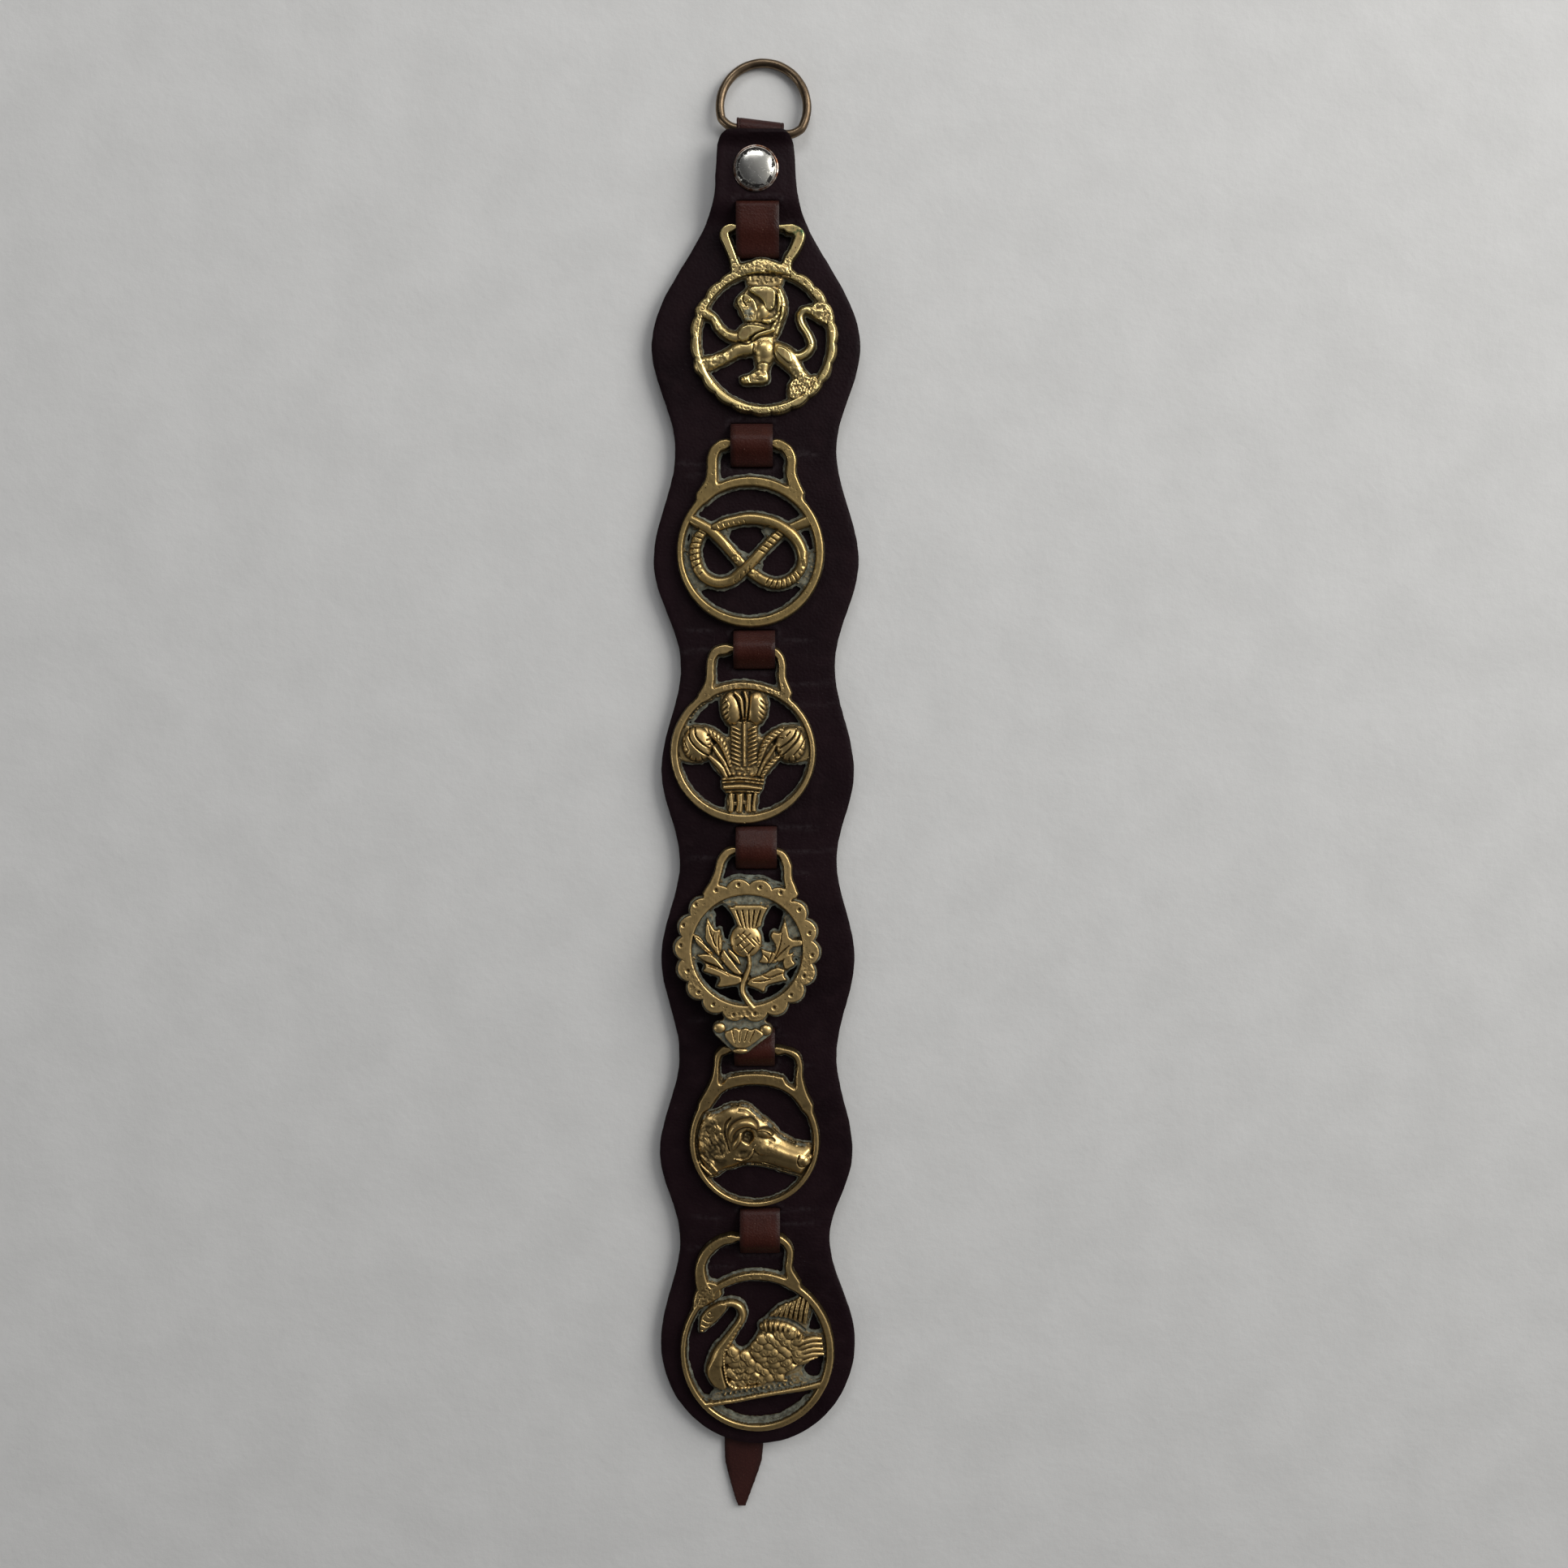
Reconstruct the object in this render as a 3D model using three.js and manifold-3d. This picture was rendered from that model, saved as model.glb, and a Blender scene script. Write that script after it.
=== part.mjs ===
// Horse brass strap: a scalloped leather backing, six cast brasses carried on one
// woven leather lace, a wire D-ring in the lace's top loop and one set stud.
// Millimetres. The strap lies on its back: +Y towards the ring, +X to the viewer's
// right, +Z out of the front. The origin is at the middle of its underside.
import * as THREE from 'three';
import { mergeVertices } from 'three/addons/utils/BufferGeometryUtils.js';
import Module from 'manifold-3d';

const wasm = await Module();
wasm.setup();

// ---------------------------------------------------------------- driving sizes
const LACE_W = 15.4;          // lace width along the weave
const LOOP_W = 16.8;          // lace width in the ring's loop, left a little wide
const LACE_T = 2.0;           // lace thickness
const HIDE_T = 3.0;           // leather backing thickness
const HIDE_Z = 2.3;           // underside of the backing, clear of the lace's rear runs
const GAP = 0.3;              // clearance between touching pieces
const BRASS_Z = HIDE_Z + HIDE_T + GAP;   // plane of the flat backs of the brasses
const BAR_TOP = 8.7;          // top of a hanger bar
const WIRE_R = 1.65;          // D-ring wire radius
const RING_R = 15.4;          // D-ring centre-line radius
const RING_BAR = 8.6;        // D-ring centre to its straight bar
const RING_YAW = -7 * Math.PI / 180;
const TAIL_Y = -271.5;        // tip of the lace's tail; the ring's top is at +271.5
const STUD = { x: 0.1, y: 232.2, capR: 8.0, dome: 2.7, shankR: 2.0, backR: 4.6 };
const THISTLE_TILT = 4.6 * Math.PI / 180;

// slots in the backing (upper, lower), the hanger bar between them, lace centre
const PITCH = [
  { a: 220.3, bar: 212.4, b: 203.0, x: 0.7 },
  { a: 143.5, bar: 137.3, b: 130.0, x: -1.6 },
  { a: 69.4, bar: 63.3, b: 57.2, x: -0.8 },
  { a: -2.9, bar: -10.9, b: -16.9, x: -0.2 },
  { a: -79.4, bar: -86.2, b: -92.2, x: -1.0 },
  { a: -150.0, bar: -159.8, b: -165.6, x: 0.9 },
];
// centres of the six brasses on the strap
const SEAT = [[3.0, 172.5], [-2.2, 98.0], [-4.6, 26.0], [-3.6, -47.5], [-0.8, -121.5], [-0.2, -207.5]];

// ------------------------------------------------------------------ mesh helpers
function meshFrom(positions, indices) {
  // a closed triangle list turned so that its faces point outwards
  let v6 = 0;
  for (let i = 0; i < indices.length; i += 3) {
    const [a, b, c] = [indices[i], indices[i + 1], indices[i + 2]].map(k => positions[k]);
    v6 += a[0] * (b[1] * c[2] - b[2] * c[1]) - a[1] * (b[0] * c[2] - b[2] * c[0]) + a[2] * (b[0] * c[1] - b[1] * c[0]);
  }
  const tris = indices.slice();
  if (v6 < 0) for (let i = 0; i < tris.length; i += 3) [tris[i + 1], tris[i + 2]] = [tris[i + 2], tris[i + 1]];
  const g = new THREE.BufferGeometry();
  g.setAttribute('position', new THREE.Float32BufferAttribute(positions.flat(), 3));
  g.setIndex(tris);
  return g;
}
function solid(geo) {
  const g = geo.clone();
  for (const k of Object.keys(g.attributes)) if (k !== 'position') g.deleteAttribute(k);
  const m = mergeVertices(g, 1e-4);
  return new wasm.Manifold(new wasm.Mesh({
    numProp: 3,
    vertProperties: new Float32Array(m.attributes.position.array),
    triVerts: new Uint32Array(m.index.array),
  }));
}
function geometry(man) {
  const m = man.getMesh();
  const g = new THREE.BufferGeometry();
  g.setAttribute('position', new THREE.BufferAttribute(new Float32Array(m.vertProperties), 3));
  g.setIndex(new THREE.BufferAttribute(new Uint32Array(m.triVerts), 1));
  return g;
}
function loft(sections, closed) {
  // joins equal-sized rings of points; flat fans close the two ends
  const n = sections[0].length, S = sections.length, pos = sections.flat(), idx = [];
  for (let s = 0; s < (closed ? S : S - 1); s++) {
    const a = s * n, b = ((s + 1) % S) * n;
    for (let i = 0; i < n; i++) {
      const j = (i + 1) % n;
      idx.push(a + i, b + i, b + j, a + i, b + j, a + j);
    }
  }
  if (!closed) {
    for (let i = 1; i < n - 1; i++) {
      idx.push(0, i, i + 1);
      const e = (S - 1) * n;
      idx.push(e, e + i + 1, e + i);
    }
  }
  return meshFrom(pos, idx);
}
const at = (v, i) => Array.isArray(v) ? v[i] : v;

// ------------------------------------------------------- relief shapes of a casting
const DRAFT = 0.55;           // how far a wall leans in between back and face
function section(prof, x, y, nx, ny, w, h) {
  const P = (k, z) => [x + nx * k, y + ny * k, z];
  if (prof === 'round') return [P(-w, 0), P(w, 0), P(0.72 * w, 0.7 * h), P(0, h), P(-0.72 * w, 0.7 * h)];
  const t = Math.max(0.35 * w, w - DRAFT);
  return [P(-w, 0), P(w, 0), P(t, h), P(-t, h)];
}
// a bar of given half-width and height along a smooth line through a few points
function stroke(pts, w, h, prof = 'round', seg = pts.length > 4 ? 1 : 2, closed = false) {
  const A = new THREE.CatmullRomCurve3(pts.map(p => new THREE.Vector3(p[0], p[1], 0)), closed, 'catmullrom', 0.5);
  const B = new THREE.CatmullRomCurve3(pts.map((p, i) => new THREE.Vector3(at(w, i), at(h, i), 0)), closed, 'catmullrom', 0.5);
  const N = (closed ? pts.length : pts.length - 1) * seg, out = [];
  for (let i = 0; i < (closed ? N : N + 1); i++) {
    const u = i / N, p = A.getPoint(u), q = B.getPoint(u), t = A.getTangent(u);
    out.push(section(prof, p.x, p.y, -t.y, t.x, q.x, q.y));
  }
  return solid(loft(out, closed));
}
// an oval rim
function rim(cx, cy, rx, ry, w, h, n = 28) {
  const out = [];
  for (let i = 0; i < n; i++) {
    const a = (2 * Math.PI * i) / n, c = Math.cos(a), s = Math.sin(a), L = Math.hypot(c / rx, s / ry);
    out.push(section('flat', cx + rx * c, cy + ry * s, c / rx / L, s / ry / L, w, h));
  }
  return solid(loft(out, true));
}
// a flat plate with the given corners
function plate(pts, h) {
  const s = new THREE.Shape(pts.map(p => new THREE.Vector2(p[0], p[1])));
  return solid(new THREE.ExtrudeGeometry(s, { depth: h, bevelEnabled: false }));
}
// a low oval dome
function dome(cx, cy, rx, ry, h, n = 10) {
  const rows = [[1, 0], [0.84, 0.66]], pos = [], idx = [];
  for (const [r, z] of rows) for (let i = 0; i < n; i++) {
    const a = (2 * Math.PI * i) / n;
    pos.push([cx + rx * r * Math.cos(a), cy + ry * r * Math.sin(a), h * z]);
  }
  pos.push([cx, cy, h]);
  for (let s = 0; s < 1; s++) for (let i = 0; i < n; i++) {
    const j = (i + 1) % n;
    idx.push(s * n + i, s * n + j, s * n + n + j, s * n + i, s * n + n + j, s * n + n + i);
  }
  for (let i = 0; i < n; i++) idx.push(n + i, n + (i + 1) % n, 2 * n);
  for (let i = 1; i < n - 1; i++) idx.push(0, i + 1, i);
  return solid(meshFrom(pos, idx));
}
// a rim whose outer edge runs in rounded lobes; its hole is a plain oval
function lobedRim(cx, cy, R, amp, lobes, phase, Ri, h, perLobe = 4, power = 1) {
  const s = new THREE.Shape(), n = lobes * perLobe;
  for (let i = 0; i < n; i++) {
    const a = (2 * Math.PI * i) / n + phase;
    const r = R + amp * Math.pow(Math.abs(Math.cos((lobes * (a - phase)) / 2)), power);
    const x = cx + r * Math.cos(a), y = cy + r * Math.sin(a);
    i ? s.lineTo(x, y) : s.moveTo(x, y);
  }
  const hole = new THREE.Path(), m = 28;
  for (let i = 0; i < m; i++) {
    const a = (-2 * Math.PI * i) / m;
    const x = cx + Ri * Math.cos(a), y = cy + Ri * Math.sin(a);
    i ? hole.lineTo(x, y) : hole.moveTo(x, y);
  }
  s.holes.push(hole);
  return solid(new THREE.ExtrudeGeometry(s, { depth: h, bevelEnabled: false }));
}
const join = parts => parts.reduce((a, b) => a.add(b));

// --------------------------------------------------------------------- the brasses
function lion() {
  return join([
    lobedRim(0, 1, 25.9, 1.2, 22, 0.1, 22.5, 3.2, 2),                 // scalloped rim
    stroke([[-10.3, 25], [-12.5, 31], [-14, 36.6], [-13, 39.4], [-9, 39.9], [6, 39.9], [11.4, 39.3], [12.8, 36.6], [10.4, 31], [8.2, 25.5]],
      [2, 1.5, 1.9, 1.6, 1.25, 1.25, 1.7, 2, 1.8, 2.3], 2.9, 'flat'),     // V-shaped hanger
    stroke([[-9, 25.6], [-1, 26.6], [8, 25.6]], [1.6, 2.3, 1.6], 3.7),  // rough crest
    plate([[-6.5, 24.5], [-6, 19], [6, 19], [6.8, 24]], 2),            // web over the head
    plate([[-5.6, 20], [-7.2, 17.8], [-10.8, 14.4], [-8.2, 10.4], [-6.3, 7], [-9, 5.5], [-9, 2], [3.8, 0.4], [5.2, 4.2], [7.8, 9.3], [7.8, 15.2], [5.4, 20.3]], 2.6),  // head and mane
    plate([[-5.2, 18.9], [-2.6, 16], [-2, 13.4], [0.2, 10.2], [2.6, 10.6], [3.2, 15.4], [4.6, 17.6], [3.4, 19.7], [-3.5, 19.9]], 4.4), // brow facet
    plate([[-9.8, 14.8], [-6.2, 8], [-4.6, 7.2], [-3.2, 10.2], [-4.6, 15.2], [-7.2, 17.2]], 3.8),    // muzzle
    stroke([[5.2, 17.5], [5.8, 13], [5, 9], [2.4, 5.8]], [1.3, 1.8, 1.8, 1.5], 3.9),               // mane at the cheek
    stroke([[3.2, 4.6], [-1, 4.6], [-5.5, 4.7], [-8.6, 2.4]], [1.4, 1.9, 2.2, 1.7], 4.4),          // shoulder
    stroke([[-8.6, 1.8], [-12.3, 2.4], [-16, 5.2], [-19.4, 9.2], [-22.6, 11.6]], [2.4, 1.7, 1.7, 1.9, 2], 3.5),  // raised foreleg
    stroke([[-4, -2], [-9, -2.6], [-13, -4.4], [-18, -6.6], [-23, -8]], [3, 2.4, 2.1, 2.4, 2.8], 3.4),          // lower foreleg
    stroke([[-1.6, 2.4], [0, -3], [-0.5, -8], [0.2, -12.4]], [4.6, 4.4, 2, 2], [3.4, 4.2, 3.6, 3.4]),           // body and standing leg
    stroke([[1.4, -12.6], [-3, -12.9], [-7.6, -13]], [2, 1.9, 1.7], 3.3),                          // foot
    stroke([[3, -2.4], [8, -4.4], [10.6, -8], [14.4, -13]], [2.8, 3.5, 2.6, 2.3], [3.8, 4.4, 3.8, 3]),          // haunch and hind leg
    plate([[10.2, -12.4], [8, -14.6], [8.4, -19.8], [13, -20.4], [20, -13.6], [18.6, -11], [15, -12.4]], 2.9),    // ground
    stroke([[10.4, -4.6], [14.6, -4], [16.9, -0.8], [15.6, 3], [13.2, 6.6], [13.2, 9.6], [16.5, 11.4], [20.5, 10]], [1.8, 1.6, 1.4, 1.3, 1.3, 1.4, 1.7, 2], 3.4), // tail
    plate([[15.2, 9.8], [19.5, 7], [23, 5.4], [23.2, 10], [19, 16], [17, 13.4]], 3),               // tuft on the rim
  ]);
}
function knot() {
  const over = 4.4, under = 3.0;
  return join([
    rim(0, 0.8, 25.2, 25.5, 2.1, 3.2),
    stroke([[-16.5, 21], [-14, 27], [-13.8, 34], [-11.4, 38.3], [-6.5, 39.3], [7, 39.3], [12.6, 38.1], [15, 33.5], [14.9, 27.5], [17.2, 21]],
      [2.5, 2.2, 2.2, 2, 1.3, 1.3, 1.8, 1.8, 1.8, 2.5], 3, 'flat'),
    // one rope: in at the upper left, round both loops, out at the upper right
    stroke([[-23, 13], [-14, 8.2], [-9, 3.2], [-4, -2.5], [0, -6.3], [5, -9.6], [10.4, -10.6], [15.4, -8.8], [18.6, -5], [19, -0.6], [17.4, 4],
      [14, 7.6], [8, 11], [0, 12.5], [-8, 11.2], [-14, 8.7]], 1.9,
      [3.2, over, 3.6, 3, under, 3.6, 3.8, 3.8, 3.8, 3.8, 3.8, over, over, 3.8, 3.4, under], 'round', 1),
    stroke([[-15.8, 8], [-18.8, 5], [-20, 0.4], [-19.2, -4.6], [-16.2, -8.6], [-11.6, -10.4], [-6.8, -9.4], [-3, -6.4], [1, -2.6], [5, 1.8], [9, 5.8], [14, 8.8], [22.5, 12.4]],
      1.9, [under, 3.6, 3.8, 3.8, 3.8, 3.8, 3.8, over, over, 3.6, 3.2, under, 3.2], 'round', 1),
    plate([[-24.5, 0.4], [-23, -7.5], [-20, -13.2], [-15, -11], [-18.5, -6], [-20.5, 0]], 1.5),
    plate([[24.5, 1.2], [20, 1.2], [18.5, -6], [15.5, -10], [20.5, -12], [23, -7]], 1.5),
  ]);
}
function feathers() {
  const p = [
    rim(-0.2, 0, 25.5, 25.2, 1.75, 3),
    stroke([[-13.8, 22], [-12, 27], [-11.8, 33], [-10, 36.8], [-6, 37.8], [9, 37], [12.6, 36], [14, 32.4], [13.8, 27], [15.6, 21]],
      [2.3, 1.5, 1.5, 1.7, 1.3, 1.3, 1.4, 1.4, 1.4, 2.2], 2.9, 'flat'),
    plate([[-6, 23.8], [-8.2, 20], [-7.4, 12], [7.4, 12], [8.4, 20], [6, 23.8]], 2),
    dome(-4.2, 16.2, 4.3, 6, 4.4), dome(4.3, 16.2, 4.2, 6, 4.4),            // curled lobes of the middle plume
    plate([[-5.4, 11], [-4.7, 0], [-6, -9.6], [5.6, -9.6], [4.7, 0], [5.2, 11]], 2.8),
    stroke([[0.2, 11], [0.1, 1], [-0.3, -8.6]], 0.9, 4, 'round', 1),
    stroke([[-3.4, 10.4], [-3.2, 0], [-2.8, -8]], 1.3, 3.6, 'round', 1),
    stroke([[3.4, 10.4], [3.1, 0], [2.6, -8]], 1.3, 3.6, 'round', 1),
    plate([[-8.6, -9.6], [-11.6, -4], [-5.6, 5], [5.6, 5], [11.6, -3.6], [7.4, -9.6]], 2.3),
    plate([[-8.5, -9.4], [-7, -15.1], [5.7, -15.1], [7.4, -9.4]], 3),            // collar
    stroke([[-8, -10.6], [-0.5, -10.1], [6.9, -10.6]], 0.65, 3.8, 'round', 1),
    stroke([[-7.4, -13], [-0.8, -12.5], [6.2, -13]], 1.1, 4.1, 'round', 1),
    plate([[-6.6, -14.8], [-5.8, -24.4], [3.5, -24.4], [5.4, -14.8]], 2.7),      // stem
  ];
  for (const s of [-1, 1]) {                                                     // the two side plumes
    p.push(dome(s * 17.1, 2.8, 5.7, 6.8, 4.5));
    p.push(plate([[s * 24.6, 9.4], [s * 13.4, 9.6], [s * 11.4, -1], [s * 15.4, -4.4], [s * 24.4, -3]].slice()[s < 0 ? 'reverse' : 'slice'](), 1.8));
    p.push(stroke([[s * 14, 8], [s * 10, 4.6], [s * 6.8, -1.4], [s * 4, -9]], [1.6, 3, 3.2, 2.8], 3.4));
    p.push(stroke([[s * 11.8, -2.5], [s * 9.2, -5], [s * 6.8, -9]], [1.2, 1.6, 1.6], 3.1, 'round', 1));
  }
  return join(p);
}
function thistle() {
  return join([
    lobedRim(0, -0.4, 25.0, 2.8, 18, (98 * Math.PI) / 180, 19.9, 3.1, 3, 0.7),
    stroke([[-13.8, 20], [-11.6, 26], [-10.4, 31.5], [-8, 35.3], [-5, 36.7], [9.8, 36.3], [13.5, 34.5], [15, 30], [15.1, 25.5], [16.5, 19]],
      [2.5, 1.8, 1.7, 1.5, 1.2, 1.1, 1.6, 1.9, 1.9, 2.4], 2.9, 'flat'),
    plate([[-8.4, 20], [-7.6, 15.4], [8.6, 15.4], [9.4, 20]], 1.7),
    plate([[-7.4, 16.2], [-4.8, 12], [-2.8, 8], [4.8, 8], [5.8, 12], [8.2, 16.2]], 3.6),     // flower
    dome(-0.5, 3.3, 5.7, 6, 4.4),                                                       // bulb
    stroke([[0.6, -1], [0.7, -6], [-1.2, -11], [-1.6, -15], [0, -19], [2, -22]], [1, 1, 1.2, 1.2, 1.2, 1.4], 3.6, 'round', 2),
    plate([[-14.2, 12], [-15.2, 8], [-15.6, 3.4], [-12, -0.6], [-9.4, -5], [-6, -9.6], [-1.4, -10.6], [-2, -8.4], [-6.4, -3], [-8.8, 2], [-9.2, 7], [-11.4, 7.6]], 3.2),
    plate([[-20.4, 5.6], [-17, 1.6], [-20.8, -1.2], [-17.5, -3.8], [-13, -4.4], [-7, -8.6], [-9.5, -4], [-13, 0.8], [-16, 4]], 3),
    plate([[-16.8, -8.3], [-12.8, -9.7], [-9.4, -11.2], [-11.3, -14.3], [-2.4, -13.4], [-1.4, -10.4], [-7, -7.4], [-12, -5.6]], 3.1),
    plate([[-20, 7.6], [-20.4, 4], [-14, 1], [-12, 12], [-15.2, 14.6]], 1.5),
    plate([[-9.6, 3.6], [-10, -3], [-8, -8], [-0.6, -9.4], [0.2, -2.4], [-5.6, 0.4]], 1.5),
    plate([[14, 12], [12.4, 8], [8.9, 6.2], [8.4, 3.8], [10.6, 1], [9.4, -2], [11, -5.4], [17.6, -4], [15.8, 0.4], [20.6, 1.2], [20.6, 3.7], [15.9, 3.8]], 3.2),
    plate([[4.4, 0.4], [5.6, -2.4], [4, -5], [7, -5.6], [11.4, -5.4], [10.8, -1.2]], 3.1),
    plate([[0.2, -10.6], [-0.6, -14], [3.8, -14.2], [6.6, -15.8], [8.4, -12.4], [15, -11.2], [13.6, -8], [14.2, -4], [11, -6.2], [6, -9.3]], 3.1),
    plate([[1, -1.4], [1, -11], [5, -9.6], [13, -5], [12.4, 0.4], [6, 0.6]], 1.5),
    plate([[-13, -28.6], [-11.8, -31.6], [-8.4, -32.7], [-4.6, -36.4], [0.2, -36.9], [4.2, -34], [8.2, -32.8], [9.6, -30], [7.2, -27.6], [2, -26.4], [-5, -26.4], [-9.6, -27.2]], 3.1),  // shell pendant
    plate([[-13.2, -24], [-12.2, -32.4], [-5.8, -38.8], [0, -38.8], [6.4, -34.4], [9.8, -29.4], [8.4, -24]], 1.6),
    stroke([[-5.4, -37.6], [-3, -38.1], [-0.4, -37.6]], [0.6, 1.1, 0.6], 2.6, 'round', 1),
  ]);
}
function hound() {
  return join([
    rim(-0.4, -0.5, 23.1, 24.4, 1.8, 3.2),
    stroke([[-22, 7], [-19.6, 12], [-16, 18.6], [-14.8, 24], [-14.6, 29], [-13.3, 33.2], [-9.6, 35.3], [-5, 35.4], [5, 35], [12.6, 34.2], [16, 31.4], [16.7, 27], [16, 20.5], [18.4, 15], [21.6, 8]],
      [1.7, 2.3, 2.6, 2, 1.6, 1.6, 1.4, 1.3, 1.3, 1.5, 1.5, 1.6, 2.4, 2.1, 1.6], 3, 'flat'),
    plate([[-15.6, 25], [-17, 15], [-9, 20], [-7, 24.6]], 3),
    plate([[16.5, 25], [8, 24.6], [9, 20], [17, 14]], 3),
    plate([[-21.6, 10], [-22.8, -8], [-17, -15.6], [-14, -12.6], [-7, -10.3], [-2, -9.6], [8, -12.5], [17, -15.4], [22.4, -8], [22, -1.2], [18, -1], [13, 0.9], [9, 3], [6.2, 6.8], [3.4, 8.4], [0.5, 11.3], [-3, 14.2], [-7, 14.4], [-11, 12.4], [-14, 10]], 2.4),
    dome(-14.2, -0.6, 7.8, 10, 5.2),                                                    // neck
    dome(-4.2, 2.6, 8.6, 9.8, 6.2, 14),                                                 // skull
    stroke([[-2, -1], [5, -3.2], [12, -5.6], [18.6, -7.8]], [5.4, 5, 4.2, 3], [6.2, 6.4, 6, 5.2]),     // muzzle
    dome(19, -7.6, 2.2, 2.4, 5.8, 8),                                                   // nose
    stroke([[-8.6, 0.6], [-8.2, 5.2], [-5.2, 8.5], [-1.4, 8.2], [0.8, 5.6]], [1.4, 2, 2, 1.8, 1.1], [6.4, 7.2, 7.5, 7.2, 6.4]), // ear roll
    stroke([[-5, 4.2], [-6.6, 1.2], [-8, -1.8]], [0.9, 1.5, 0.9], 6.9),                       // ear flap
    stroke([[-7, -7.4], [2, -8.6], [9, -10.6], [15.6, -12.6]], [2, 2, 1.8, 1.4], [4.6, 4.2, 3.8, 3.2]),      // jaw
    stroke([[-20.4, -6], [-17.2, -9], [-14.2, -12]], 1.1, 3.9, 'round', 1),               // collar
  ]);
}
function swan() {
  return join([
    rim(-0.2, 2.2, 28.0, 30.3, 1.95, 3.2, 36),
    stroke([[-18.8, 24], [-21.2, 30], [-21.7, 36.5], [-19.4, 42], [-14.6, 45.9], [-9, 47.6], [8.2, 47.6], [11.8, 44.9], [12.6, 40], [11.9, 35], [14.6, 29]],
      [3, 2.5, 2.1, 2, 1.8, 1.4, 1.3, 1.5, 1.5, 1.7, 2.4], 3, 'flat'),
    plate([[-24, 25], [-24.6, 18], [-16, 21], [-13.4, 24], [-15, 28]], 2.6),
    stroke([[-11.6, 21.3], [-15.6, 19.7], [-19, 16.8], [-21, 12.8], [-21.6, 9.6]], [1.5, 2.5, 2.6, 1.6, 0.5], [3.6, 4.3, 4.3, 3.6, 3]),   // head
    stroke([[-13, 21.5], [-9, 22.2], [-5.6, 20.3], [-4.9, 17], [-6.8, 12.8], [-10.5, 7.4], [-14.2, 1.6], [-15.6, -4], [-14.6, -8.6], [-9, -11]],
      [1.4, 1.5, 1.5, 1.5, 1.6, 1.9, 3, 4.6, 4.4, 2.8], [3.8, 4, 4, 4, 4, 4.2, 4.6, 5, 4.8, 4.2]),      // neck and breast
    plate([[-14, 3.4], [-15, -13.4], [0, -13.6], [12, -13], [18, -9.4], [16, -5], [21, 0], [26.4, 1.4], [26.2, 9.2], [18.8, 9.8], [20.4, 17.5], [20.4, 22.6], [17, 24.6], [13.5, 21.6], [9.5, 20.4], [5, 16.4], [0, 8.5], [-6, 1.4], [-10.5, 1.2]], 2.3),
    stroke([[-9, -7], [-1, -4], [7, 1.4], [13, 7.6]], [4.2, 6, 7.2, 6], [4, 4.5, 4.7, 4.2]),      // feathered body
    stroke([[7.6, 12.6], [13, 17.2], [18, 21]], [4.4, 4.4, 2.4], [4.2, 3.9, 3.4]),                 // wing tip
    stroke([[13, 0.6], [18, 3.2], [25, 5.8]], [3.2, 3.4, 2.6], 3.7),                               // tail
    stroke([[-20.8, -20], [-12, -17.4], [0, -15.5], [12, -13.7], [20, -12.6], [26.4, -10.6]], [1.3, 1.1, 1.1, 1.2, 1.7, 2.4], 3.2, 'round', 1),
    plate([[-17.6, -18], [-14.8, -11], [16, -7.8], [22, -9.4], [26.6, -8.6], [25, -13.6], [12, -13.7], [0, -15.5]], 1.8),
  ]);
}

// ------------------------------------------------------------- the leather backing
const cosStep = t => (1 - Math.cos(Math.PI * Math.min(1, Math.max(0, t)))) / 2;
// bulges and necks of the scalloped outline: [y, left half-width, right half-width]
const WAVES = [
  [229, 14.2, 14.5], [171.5, 37.5, 37.5], [135.1, 29.3, 29.1], [95.3, 37.5, 37.3], [57.5, 27.9, 28.8],
  [18.5, 35.4, 36.0], [-14.9, 28.8, 29.7], [-51.9, 36.0, 36.5], [-89.4, 29.5, 30.0], [-127.1, 37.2, 36.2],
  [-161.3, 29.8, 27.6], [-203.0, 37.5, 37.5],
];
const HIDE_TOP = 245.2, HIDE_END = -244.2;
function hideHalf(y, side) {
  const k = side < 0 ? 1 : 2;
  if (y > 229) {
    const c = [[HIDE_TOP, 9.8], [243.6, 11.9], [241, 13.5], [236, 13.9], [229, 14.3]];
    for (let i = 0; i < 4; i++) if (y >= c[i + 1][0]) {
      const t = (c[i][0] - y) / (c[i][0] - c[i + 1][0]);
      return c[i][1] + (c[i + 1][1] - c[i][1]) * t;
    }
  }
  for (let i = 0; i + 1 < WAVES.length; i++) if (y >= WAVES[i + 1][0]) {
    const t = (WAVES[i][0] - y) / (WAVES[i][0] - WAVES[i + 1][0]);
    return WAVES[i][k] + (WAVES[i + 1][k] - WAVES[i][k]) * cosStep(t);
  }
  const u = (y + 203.0) / (HIDE_END + 203.0);
  return 37.5 * Math.sqrt(Math.max(0.012, 1 - u * u));
}
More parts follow.
